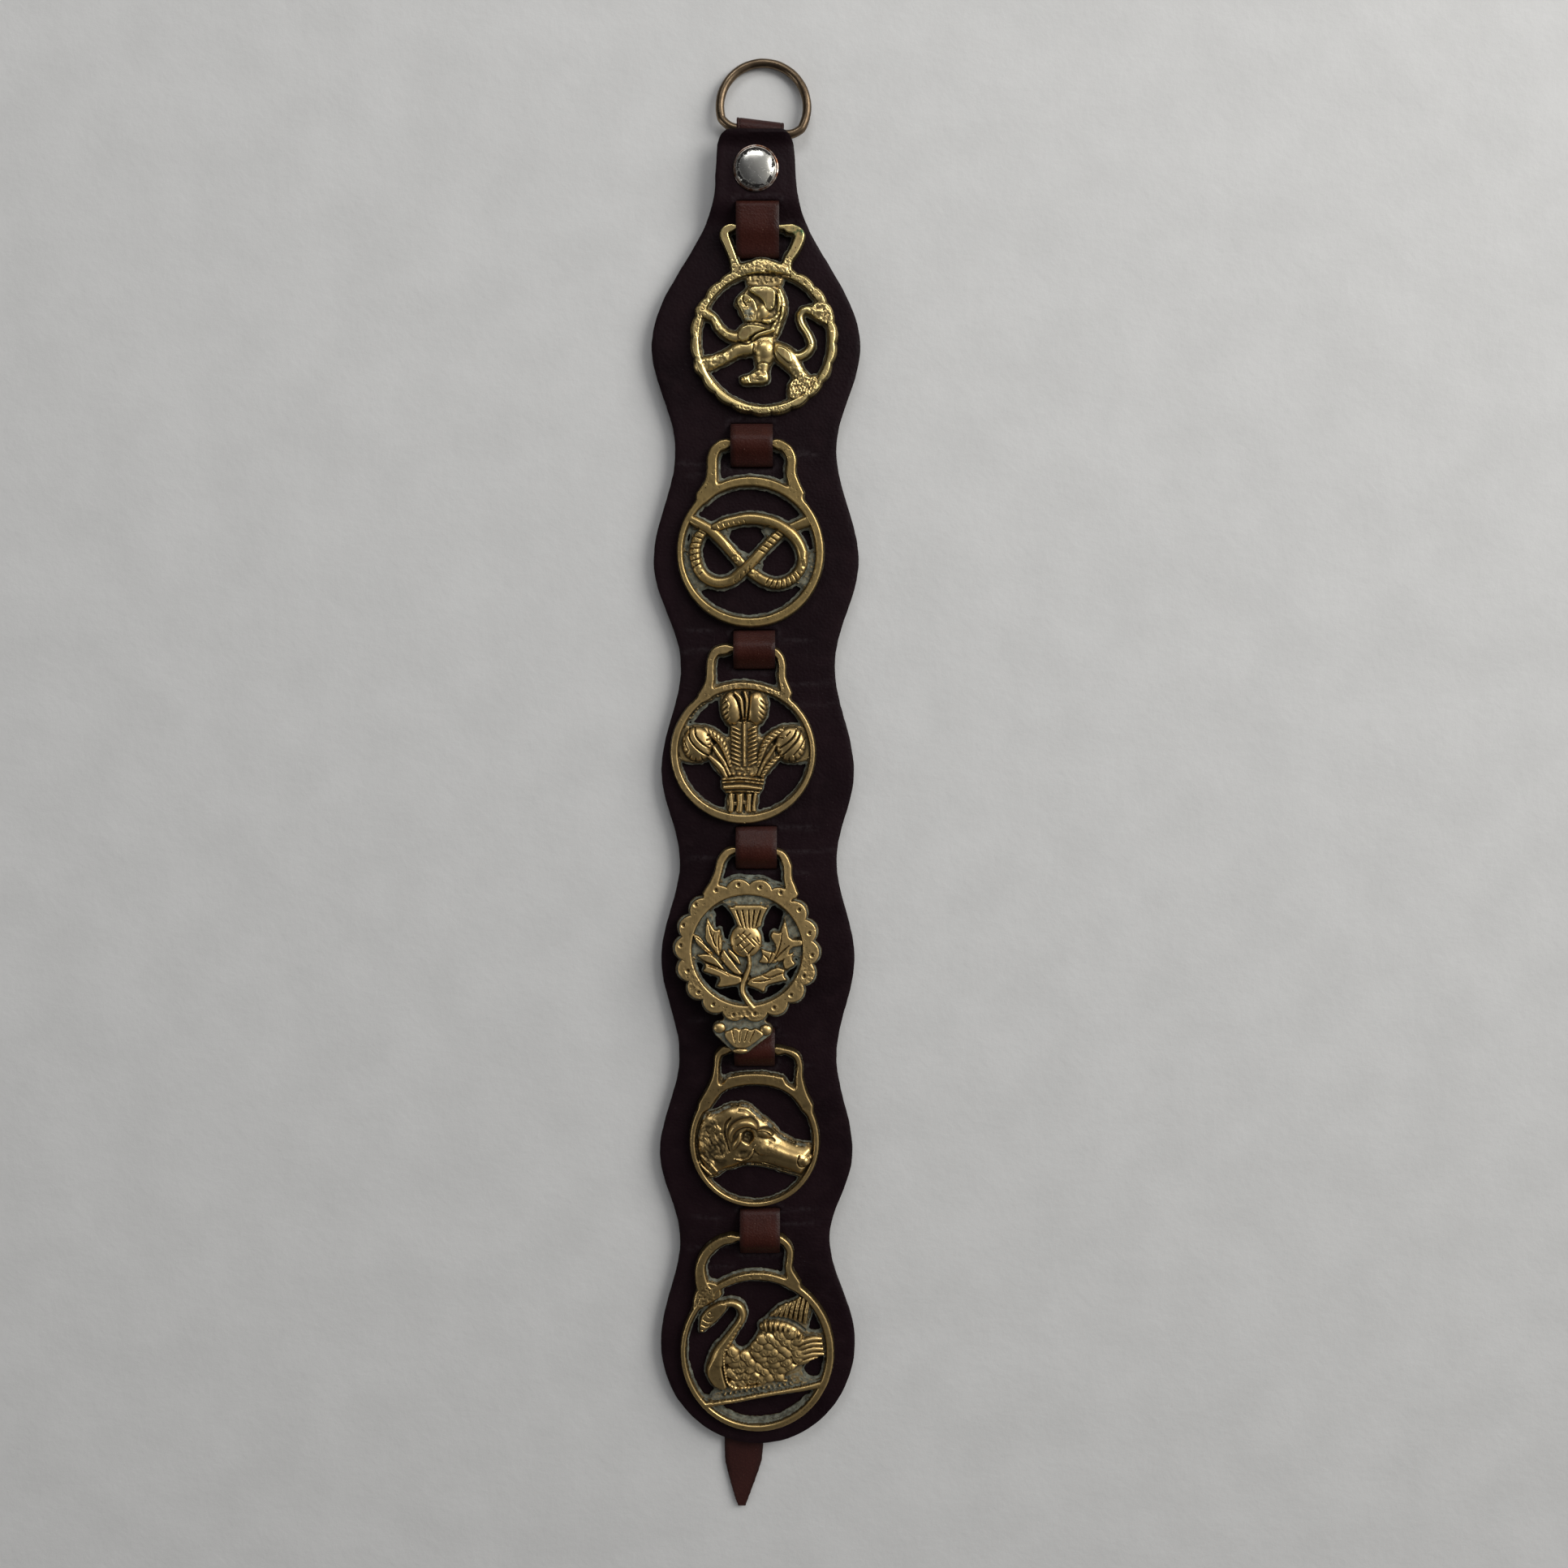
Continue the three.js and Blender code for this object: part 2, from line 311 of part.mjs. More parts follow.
// the underside climbs over the doubled lace at the top, and again over the ring's loop
function hideZ(y) {
  return HIDE_Z + 3.3 * cosStep((y - 213) / 10) + 2.9 * cosStep((y - 239.6) / 5.6);
}
function leather() {
  const SW = LACE_W / 2 + 0.35, SL = LACE_T / 2 + 0.32;
  const slots = PITCH.flatMap(p => [[p.a, p.x], [p.b, p.x]]);
  const ys = new Set([HIDE_TOP, 243.6, 241, 238.5, 236, 227, 224.5, 217, 214, 209, 198, 191, 184, 177, 171.5]);
  for (let i = 1; i + 1 < WAVES.length; i++) for (const t of [0, 0.3, 0.7]) ys.add(WAVES[i][0] + (WAVES[i + 1][0] - WAVES[i][0]) * t);
  for (const d of [0, 12, 22, 30, 36, 39.5, 41.2]) ys.add(-203 - d);
  for (const [y] of slots) for (const v of [...ys]) if (Math.abs(v - y) < SL + 1.2) ys.delete(v);
  for (const [y] of slots) { ys.add(y + SL); ys.add(y - SL); }
  const rows = [...ys].sort((a, b) => b - a);
  const slotX = y => {
    let best = slots[0];
    for (const s of slots) if (Math.abs(s[0] - y) < Math.abs(best[0] - y)) best = s;
    return best[1];
  };
  const pos = [], idx = [], N = rows.length;
  for (const y of rows) {
    const L = -hideHalf(y, -1), R = hideHalf(y, 1), c = slotX(y);
    const inner = Math.min(SW, 0.6 * Math.min(-L, R));
    const xs = [L, Math.max(c - SW, L + 0.3 * (-L)), Math.min(c + SW, R - 0.3 * R), R];
    if (inner < SW && y < -230) { xs[1] = L / 3; xs[2] = R / 3; }
    for (const z of [hideZ(y) + HIDE_T, hideZ(y)]) for (const x of xs) pos.push([x, y, z]);
  }
  const quad = (a, b, c, d) => idx.push(a, b, c, a, c, d);
  const isSlot = (i, y0, y1) => slots.some(([y]) => Math.abs((y0 + y1) / 2 - y) < 0.05 && Math.abs(y0 - y1 - 2 * SL) < 0.05);
  for (let i = 0; i + 1 < N; i++) {
    const a = i * 8, b = a + 8, hole = isSlot(i, rows[i], rows[i + 1]);
    for (let k = 0; k < 3; k++) {
      if (k === 1 && hole) continue;
      quad(a + k, b + k, b + k + 1, a + k + 1);               // front
      quad(a + 5 + k, b + 5 + k, b + 4 + k, a + 4 + k);       // back
    }
    quad(a + 4, b + 4, b, a);                                 // left edge
    quad(a + 3, b + 3, b + 7, a + 7);                         // right edge
    if (hole) {
      quad(a + 1, b + 1, b + 5, a + 5);
      quad(b + 2, a + 2, a + 6, b + 6);
      quad(a + 2, a + 1, a + 5, a + 6);
      quad(b + 1, b + 2, b + 6, b + 5);
    }
  }
  for (let k = 0; k < 3; k++) {
    quad(k + 1, k + 5, k + 4, k);
    const e = (N - 1) * 8;
    quad(e + k, e + k + 4, e + k + 5, e + k + 1);
  }
  return solid(meshFrom(pos, idx));
}

// ------------------------------------------------------------------------ the lace
const LOOP = { y: 246.07, z: WIRE_R + 0.25 + LACE_T + 0.14 };
function lacePath() {
  // [y, z, x centre, half-width, slant] along the lace's middle, from its short end
  const r = WIRE_R + 0.25 + LACE_T / 2, w = LACE_W / 2, q = LOOP_W / 2, P = [], shear = -0.12;
  P.push([223.6, 4.3, 1.9, q, 0], [229, 4.3, 1.9, q, 0], [239.0, 4.3, 1.8, q, shear * 0.3], [241.6, 4.75, 1.8, q, shear * 0.4]);
  for (const d of [110, 70, 30, -10, -50, -88]) {
    const a = (d * Math.PI) / 180;
    P.push([LOOP.y + r * Math.cos(a), LOOP.z + r * Math.sin(a), 1.7, q, shear]);
  }
  P.push([241, 1.25, 1.5, q, shear * 0.6], [237.5, 2.0, 1.3, q, 0], [227, 2.0, 0.9, w, 0]);
  PITCH.forEach((p, i) => {
    const top = hideZ(p.a) + HIDE_T;
    P.push([p.a + 0.9, i ? 1.0 : 1.2, p.x, w, 0], [p.a, 1.9, p.x, w, 0], [p.a, top + 0.75, p.x, w, 0], [p.a - 0.8, top + 1.6, p.x, w, 0]);
    P.push([p.bar + 1.6, BAR_TOP + GAP + LACE_T / 2, p.x, w, 0], [p.bar - 1.6, BAR_TOP + GAP + LACE_T / 2, p.x, w, 0]);
    P.push([p.b + 0.8, HIDE_Z + HIDE_T + 1.6, p.x, w, 0], [p.b, HIDE_Z + HIDE_T + 0.75, p.x, w, 0], [p.b, 1.9, p.x, w, 0], [p.b - 0.9, 1.0, p.x, w, 0]);
  });
  P.push([-205, 1.0, -2.5, w, 0], [-240, 1.0, -5.9, w, 0], [-247, 1.0, -6.4, 7.7, 0], [-251.5, 1.0, -6.8, 6.8, 0],
    [-258, 1.0, -6.9, 4.6, 0], [-264.6, 1.0, -6.9, 2.8, 0], [TAIL_Y, 1.0, -7.4, 0.8, 0]);
  return P;
}
function lace() {
  const P = lacePath(), T = LACE_T / 2, out = [];
  for (let i = 0; i < P.length; i++) {
    const u = P[Math.max(0, i - 1)], v = P[Math.min(P.length - 1, i + 1)], p = P[i];
    const unit = (a, b) => { const l = Math.hypot(b[0] - a[0], b[1] - a[1]) || 1; return [(b[0] - a[0]) / l, (b[1] - a[1]) / l]; };
    const d0 = i ? unit(u, p) : unit(p, v), d1 = i + 1 < P.length ? unit(p, v) : unit(u, p);
    let n = [-(d0[1] + d1[1]), d0[0] + d1[0]];
    const l = Math.hypot(...n); n = [n[0] / l, n[1] / l];
    const m = T / (n[0] * -d1[1] + n[1] * d1[0]);            // mitre length
    const [y, z, x, w, s] = p;
    const V = (sx, sn) => [x + sx * w, y + n[0] * m * sn + s * sx * w, z + n[1] * m * sn];
    out.push([V(-1, -1), V(1, -1), V(1, 1), V(-1, 1)]);
  }
  return solid(loft(out, false));
}

// --------------------------------------------------------------- ring and the stud
function dRing() {
  // centre line: a circle whose bottom is flattened to a straight bar
  const pts = [], n = 19, a0 = -Math.asin(RING_BAR / RING_R) + 0.2;
  for (let i = 0; i <= n; i++) {
    const a = a0 + ((Math.PI - 2 * a0) * i) / n;
    pts.push([RING_R * Math.cos(a), RING_R * Math.sin(a)]);
  }
  pts.push([-10.6, -RING_BAR + 0.3], [-8.6, -RING_BAR], [8.6, -RING_BAR], [10.6, -RING_BAR + 0.3]);
  // hinged down about the bar until the round end touches what the strap lies on
  const drop = Math.asin((LOOP.z - WIRE_R) / (RING_BAR + RING_R)), c = Math.cos(drop), s = Math.sin(drop);
  const cy = Math.cos(RING_YAW), sy = Math.sin(RING_YAW);
  const place = (x, y, z) => {                               // ring plane -> strap
    const d = y + RING_BAR, Y = d * c + z * s, Z = -d * s + z * c;
    return [1.75 + x * cy - Y * sy, LOOP.y + x * sy + Y * cy, LOOP.z + Z];
  };
  const out = [];
  for (let i = 0; i < pts.length; i++) {
    const p = pts[i], q = pts[(i + 1) % pts.length], o = pts[(i + pts.length - 1) % pts.length];
    const tx = q[0] - o[0], ty = q[1] - o[1], l = Math.hypot(tx, ty), nx = ty / l, ny = -tx / l, sec = [];
    for (let k = 0; k < 8; k++) {
      const a = (Math.PI * 2 * (k + 0.5)) / 8, R = WIRE_R;
      sec.push(place(p[0] + nx * R * Math.cos(a), p[1] + ny * R * Math.cos(a), R * Math.sin(a)));
    }
    out.push(sec);
  }
  return solid(loft(out, true));
}
function stud() {
  const z = hideZ(STUD.y) + HIDE_T + GAP, b = 0.7;
  const prof = [[0, 0], [STUD.backR, 0], [STUD.backR, 0.35], [STUD.backR - 0.5, b], [STUD.shankR, b], [STUD.shankR, z], [STUD.capR - 0.6, z],
    [STUD.capR, z + 0.3], [STUD.capR - 0.25, z + 0.8], [STUD.capR * 0.78, z + 1.75], [STUD.capR * 0.42, z + 2.45], [0, z + STUD.dome]];
  const g = new THREE.LatheGeometry(prof.map(p => new THREE.Vector2(p[0], p[1])), 16);
  g.rotateX(Math.PI / 2);
  g.translate(STUD.x, STUD.y, 0);
  return solid(g);
}
function studHole() {
  const g = new THREE.CylinderGeometry(STUD.shankR + GAP, STUD.shankR + GAP, 12, 10);
  g.rotateX(Math.PI / 2);
  g.translate(STUD.x, STUD.y, 6);
  return solid(g);
}

// ------------------------------------------------------------------------ assembly
const MAT = {
  brass: { color: 0xc9a45c, roughness: 0.32, metalness: 1 },
  hide: { color: 0x2a1a20, roughness: 0.62, metalness: 0 },
  lace: { color: 0x5a2f26, roughness: 0.58, metalness: 0 },
  wire: { color: 0x8a6a42, roughness: 0.3, metalness: 1 },
  nickel: { color: 0xcfcbc2, roughness: 0.25, metalness: 1 },
};
function piece(name, man, mat, flat = true) {
  const g = geometry(man);
  const m = new THREE.Mesh(g, new THREE.MeshStandardMaterial({ ...MAT[mat], flatShading: flat }));
  m.name = name;
  return m;
}
const strap = new THREE.Group();
strap.add(piece('leather_backing', leather().subtract(studHole()), 'hide'));
strap.add(piece('lace', lace().subtract(studHole()), 'lace'));
strap.add(piece('d_ring', dRing(), 'wire'));
strap.add(piece('stud', stud(), 'nickel'));
const casts = { brass_lion: lion, brass_knot: knot, brass_feathers: feathers, brass_thistle: thistle, brass_hound: hound, brass_swan: swan };
Object.entries(casts).forEach(([name, make], i) => {
  const m = piece(name, make(), 'brass');
  m.position.set(SEAT[i][0], SEAT[i][1], BRASS_Z);
  if (name === 'brass_thistle') {
    // its pendant lies on the next lace, so it leans up about its own hanger bar
    const d = PITCH[3].bar - SEAT[3][1];
    m.rotation.x = -THISTLE_TILT;
    m.position.y += d - d * Math.cos(THISTLE_TILT);
    m.position.z += 0.1 + d * Math.sin(THISTLE_TILT);
  }
  strap.add(m);
});
export default strap;
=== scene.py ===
# Horse brass strap: a scalloped leather backing with six cast brasses on one woven
# lace, a wire ring and a set stud. It lies on its back on a pale floor.
# Sizes are in millimetres in the making code and in metres in Blender.
import math
import bpy
import numpy as np
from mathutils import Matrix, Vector


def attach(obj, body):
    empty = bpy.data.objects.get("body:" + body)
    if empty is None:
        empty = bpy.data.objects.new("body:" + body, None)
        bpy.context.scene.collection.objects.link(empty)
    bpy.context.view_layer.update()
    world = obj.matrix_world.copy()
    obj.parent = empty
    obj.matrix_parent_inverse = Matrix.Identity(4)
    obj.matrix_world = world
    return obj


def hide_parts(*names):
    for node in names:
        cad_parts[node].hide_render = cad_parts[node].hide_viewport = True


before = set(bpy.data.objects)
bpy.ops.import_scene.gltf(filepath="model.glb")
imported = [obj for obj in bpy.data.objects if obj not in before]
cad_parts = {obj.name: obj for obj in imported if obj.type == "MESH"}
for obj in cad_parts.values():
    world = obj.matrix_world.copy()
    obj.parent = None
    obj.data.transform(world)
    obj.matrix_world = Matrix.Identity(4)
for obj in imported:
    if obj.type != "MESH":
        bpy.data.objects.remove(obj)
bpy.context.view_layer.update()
MM = 0.001

# ------------------------------------------------------------------ camera
cam_data = bpy.data.cameras.new("camera")
cam_data.sensor_width = 36.0
cam_data.lens = 36.0 * 1938.0 / 1932.0
cam = bpy.data.objects.new("camera", cam_data)
cam.location = (0.01005, 0.07965, 0.5831)
cam.rotation_euler = (math.radians(-6.5), 0.0, 0.0)
cam_data.clip_start, cam_data.clip_end = 0.01, 20.0
bpy.context.scene.collection.objects.link(cam)
bpy.context.scene.camera = cam
bpy.context.scene.view_settings.view_transform = "Standard"

# ------------------------------------------------------------------ named sizes
LACE_W, LOOP_W, LACE_T = 15.4, 16.8, 2.0
HIDE_T, HIDE_Z, GAP = 3.0, 2.3, 0.3
BRASS_Z = HIDE_Z + HIDE_T + GAP
BAR_TOP = 8.7
WIRE_R, RING_R, RING_BAR, RING_YAW = 1.65, 15.4, 8.6, math.radians(-7)
TAIL_Y = -271.5
STUD_X, STUD_Y, CAP_R, CAP_RISE, SHANK_R, BACK_R = 0.1, 232.2, 8.0, 2.7, 2.0, 4.6
LOOP_Y, LOOP_Z = 246.07, WIRE_R + 0.25 + LACE_T + 0.14
TILT = math.radians(4.6)
PITCH = [(220.3, 212.4, 203.0, 0.7), (143.5, 137.3, 130.0, -1.6), (69.4, 63.3, 57.2, -0.8),
         (-2.9, -10.9, -16.9, -0.2), (-79.4, -86.2, -92.2, -1.0), (-150.0, -159.8, -165.6, 0.9)]
SEAT = {"lion": (3.0, 172.5), "knot": (-2.2, 98.0), "feathers": (-4.6, 26.0),
        "thistle": (-3.6, -47.5), "hound": (-0.8, -121.5), "swan": (-0.2, -207.5)}
SLOT_HALF = LACE_W / 2 - 0.08

# ------------------------------------------------------------------ small maths
def lattice(X, Y, size, seed):
    """Smooth seeded noise from -1 to 1 with features of the given size."""
    n = 61
    tab = np.random.RandomState(seed).rand(n, n) * 2 - 1
    u, v = X / size + 17.3, Y / size + 9.1
    i, j = np.floor(u).astype(int), np.floor(v).astype(int)
    fu, fv = u - i, v - j
    fu, fv = fu * fu * (3 - 2 * fu), fv * fv * (3 - 2 * fv)
    a, b = tab[j % n, i % n], tab[j % n, (i + 1) % n]
    c, d = tab[(j + 1) % n, i % n], tab[(j + 1) % n, (i + 1) % n]
    return (a * (1 - fu) + b * fu) * (1 - fv) + (c * (1 - fu) + d * fu) * fv


def blur(a, n):
    """A box blur of n cells each way, done twice."""
    for _ in range(2):
        for ax in (0, 1):
            p = np.concatenate([np.repeat(np.take(a, [0], ax), n, ax), a, np.repeat(np.take(a, [-1], ax), n, ax)], ax)
            c = np.cumsum(p, ax)
            z = np.zeros_like(np.take(c, [0], ax))
            c = np.concatenate([z, c], ax)
            m = a.shape[ax]
            a = (np.take(c, range(2 * n + 1, 2 * n + 1 + m), ax) - np.take(c, range(0, m), ax)) / (2 * n + 1)
    return a


def smax(a, b, k):
    return np.maximum(a, b) + np.maximum(k - np.abs(a - b), 0) ** 2 / (4 * k)


def curve(pts, n=9, closed=False):
    """A smooth line through the points; every column is carried along."""
    P = np.array(pts, float)
    if len(P) == 2:
        t = np.linspace(0, 1, n)[:, None]
        return P[0] * (1 - t) + P[1] * t
    if closed:
        Q = np.vstack([P[-1], P, P[0], P[1]])
        m = len(P)
    else:
        Q = np.vstack([2 * P[0] - P[1], P, 2 * P[-1] - P[-2]])
        m = len(P) - 1
    out, t = [], np.linspace(0, 1, n, endpoint=False)[:, None]
    for i in range(m):
        a, b, c, d = Q[i], Q[i + 1], Q[i + 2], Q[i + 3]
        m0, m1 = (c - a) * 0.5, (d - b) * 0.5
        t2, t3 = t * t, t * t * t
        out.append((2 * t3 - 3 * t2 + 1) * b + (t3 - 2 * t2 + t) * m0 + (3 * t2 - 2 * t3) * c + (t3 - t2) * m1)
    if not closed:
        out.append(P[-1:])
    return np.vstack(out)


def step(t):
    t = np.clip(t, 0, 1)
    return t * t * (3 - 2 * t)


def cos_step(t):
    return (1 - np.cos(np.pi * np.clip(t, 0, 1))) / 2


# ------------------------------------------------------------------ mesh output
def build(name, verts, faces, attrs, mat, node, sharp=42.0):
    """One mesh object from points in millimetres and lists of equal-sided faces."""
    me = bpy.data.meshes.new(name)
    verts = np.asarray(verts, np.float32) * MM
    me.vertices.add(len(verts))
    me.vertices.foreach_set("co", verts.ravel())
    loops = np.concatenate([np.asarray(f, np.int32).ravel() for f in faces])
    tot = np.concatenate([np.full(len(f), np.shape(f)[1], np.int32) for f in faces])
    start = np.concatenate([[0], np.cumsum(tot)[:-1]]).astype(np.int32)
    me.loops.add(len(loops))
    me.loops.foreach_set("vertex_index", loops)
    me.polygons.add(len(tot))
    me.polygons.foreach_set("loop_start", start)
    me.polygons.foreach_set("loop_total", tot)
    me.update(calc_edges=True)
    me.validate()
    for key, val in attrs.items():
        at = me.attributes.new(key, "FLOAT", "POINT")
        at.data.foreach_set("value", np.asarray(val, np.float32))
    me.polygons.foreach_set("use_smooth", np.ones(len(me.polygons), bool))
    me.set_sharp_from_angle(angle=math.radians(sharp))
    me.materials.append(mat)
    ob = bpy.data.objects.new(name, me)
    bpy.context.scene.collection.objects.link(ob)
    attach(ob, "root")
    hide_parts(node)
    return ob


def relief(X, Y, S, top, bot, edge, extra, g):
    """A closed solid over the region S > 0: its front is `top`, its back `bot`,
    and its outline wall runs up to `edge`. Returns points, triangles, quads, values."""
    ny, nx = S.shape
    gy, gx = np.gradient(S, g)
    nn = np.maximum(gx * gx + gy * gy, 0.05)
    S = S.copy()
    for _ in range(6):
        near = np.abs(S) < 0.33 * g
        dx = np.clip(np.where(near, -S * gx / nn, 0), -0.42 * g, 0.42 * g)
        dy = np.clip(np.where(near, -S * gy / nn, 0), -0.42 * g, 0.42 * g)
        Z = np.where(near, 0.0, S)
        ids = np.arange(ny * nx).reshape(ny, nx)
        A, B, C, D = ids[:-1, :-1], ids[:-1, 1:], ids[1:, 1:], ids[1:, :-1]
        even = np.abs(top[:-1, :-1] - top[1:, 1:]) <= np.abs(top[:-1, 1:] - top[1:, :-1])
        T = np.concatenate([
            np.stack([A, B, C], -1)[even], np.stack([A, C, D], -1)[even],
            np.stack([A, B, D], -1)[~even], np.stack([B, C, D], -1)[~even]])
        z = Z.ravel()[T]
        keep = (z > 0).any(1)
        T, z = T[keep], z[keep]
        neg = (z < 0).sum(1)
        full = T[neg == 0]
        t1, z1 = T[neg == 1], z[neg == 1]
        k = np.argmax(z1 < 0, 1)
        r = (np.arange(3)[None, :] + k[:, None] + 1) % 3
        t1, z1 = np.take_along_axis(t1, r, 1), np.take_along_axis(z1, r, 1)
        t2, z2 = T[neg == 2], z[neg == 2]
        k = np.argmax(z2 > 0, 1)
        r = (np.arange(3)[None, :] + k[:, None]) % 3
        t2, z2 = np.take_along_axis(t2, r, 1), np.take_along_axis(z2, r, 1)
        N = ny * nx

        def cut(a, b):
            return np.minimum(a, b).astype(np.int64) * N + np.maximum(a, b)
        want = [cut(t1[:, 1], t1[:, 2]), cut(t1[:, 0], t1[:, 2]), cut(t2[:, 0], t2[:, 1]), cut(t2[:, 0], t2[:, 2])]
        use = [z1[:, 1] > 0, z1[:, 0] > 0, np.ones(len(t2), bool), np.ones(len(t2), bool)]
        keys = np.unique(np.concatenate([w[u] for w, u in zip(want, use)]))
        pos = [N + np.searchsorted(keys, w) for w in want]
        c12 = np.where(use[0], pos[0], t1[:, 1])
        c02 = np.where(use[1], pos[1], t1[:, 0])
        tris = [full, np.stack([t1[:, 0], t1[:, 1], c12], 1), np.stack([t1[:, 0], c12, c02], 1),
                np.stack([t2[:, 0], pos[2], pos[3]], 1)]
        F = np.concatenate(tris)
        F = F[(F[:, 0] != F[:, 1]) & (F[:, 1] != F[:, 2]) & (F[:, 0] != F[:, 2])]
        E = np.concatenate([F[:, [0, 1]], F[:, [1, 2]], F[:, [2, 0]]]).astype(np.int64)
        M = N + len(keys) + 1
        fw, bw = E[:, 0] * M + E[:, 1], E[:, 1] * M + E[:, 0]
        rim = E[~np.isin(fw, bw)]
        outdeg = np.bincount(rim[:, 0], minlength=M)
        bad = np.nonzero(outdeg > 1)[0]
        if not len(bad):
            break
        bad = bad[bad < N]
        S.ravel()[bad] = 0.34 * g
    a, b = (keys // N).astype(int), (keys % N).astype(int)
    sa, sb = Z.ravel()[a], Z.ravel()[b]
    w = (sa / (sa - sb))

    def both(f, fx=None, fy=None):
        f = f.ravel()
        return np.concatenate([f, f[a] * (1 - w) + f[b] * w])
    px, py = both(X + dx), both(Y + dy)
    ty, tx = np.gradient(top, g)
    moved = np.clip(top + tx * dx + ty * dy, top - 0.3, top + 0.3)
    pt = both(moved)
    pe, pb = both(edge), both(bot)
    onrim = np.zeros(len(px), bool)
    onrim[rim[:, 0]] = True
    pt = np.where(onrim, pe, pt)
    used = np.unique(F)
    back = np.full(len(px), -1)
    back[used] = np.arange(len(used))
    F, rim = back[F], back[rim]
    n = len(used)
    P = np.vstack([np.stack([px, py, pt], 1)[used], np.stack([px, py, pb], 1)[used]])
    tri = np.vstack([F, F[:, ::-1] + n])
    quad = np.stack([rim[:, 1], rim[:, 0], rim[:, 0] + n, rim[:, 1] + n], 1)
    vals = {}
    for key, f in extra.items():
        v = both(f)[used]
        vals[key] = np.concatenate([v, np.zeros(n) if key != "grime" else np.full(n, 0.35)])
    vals["backside"] = np.concatenate([np.zeros(n), np.ones(n)])
    return P, tri, quad, vals


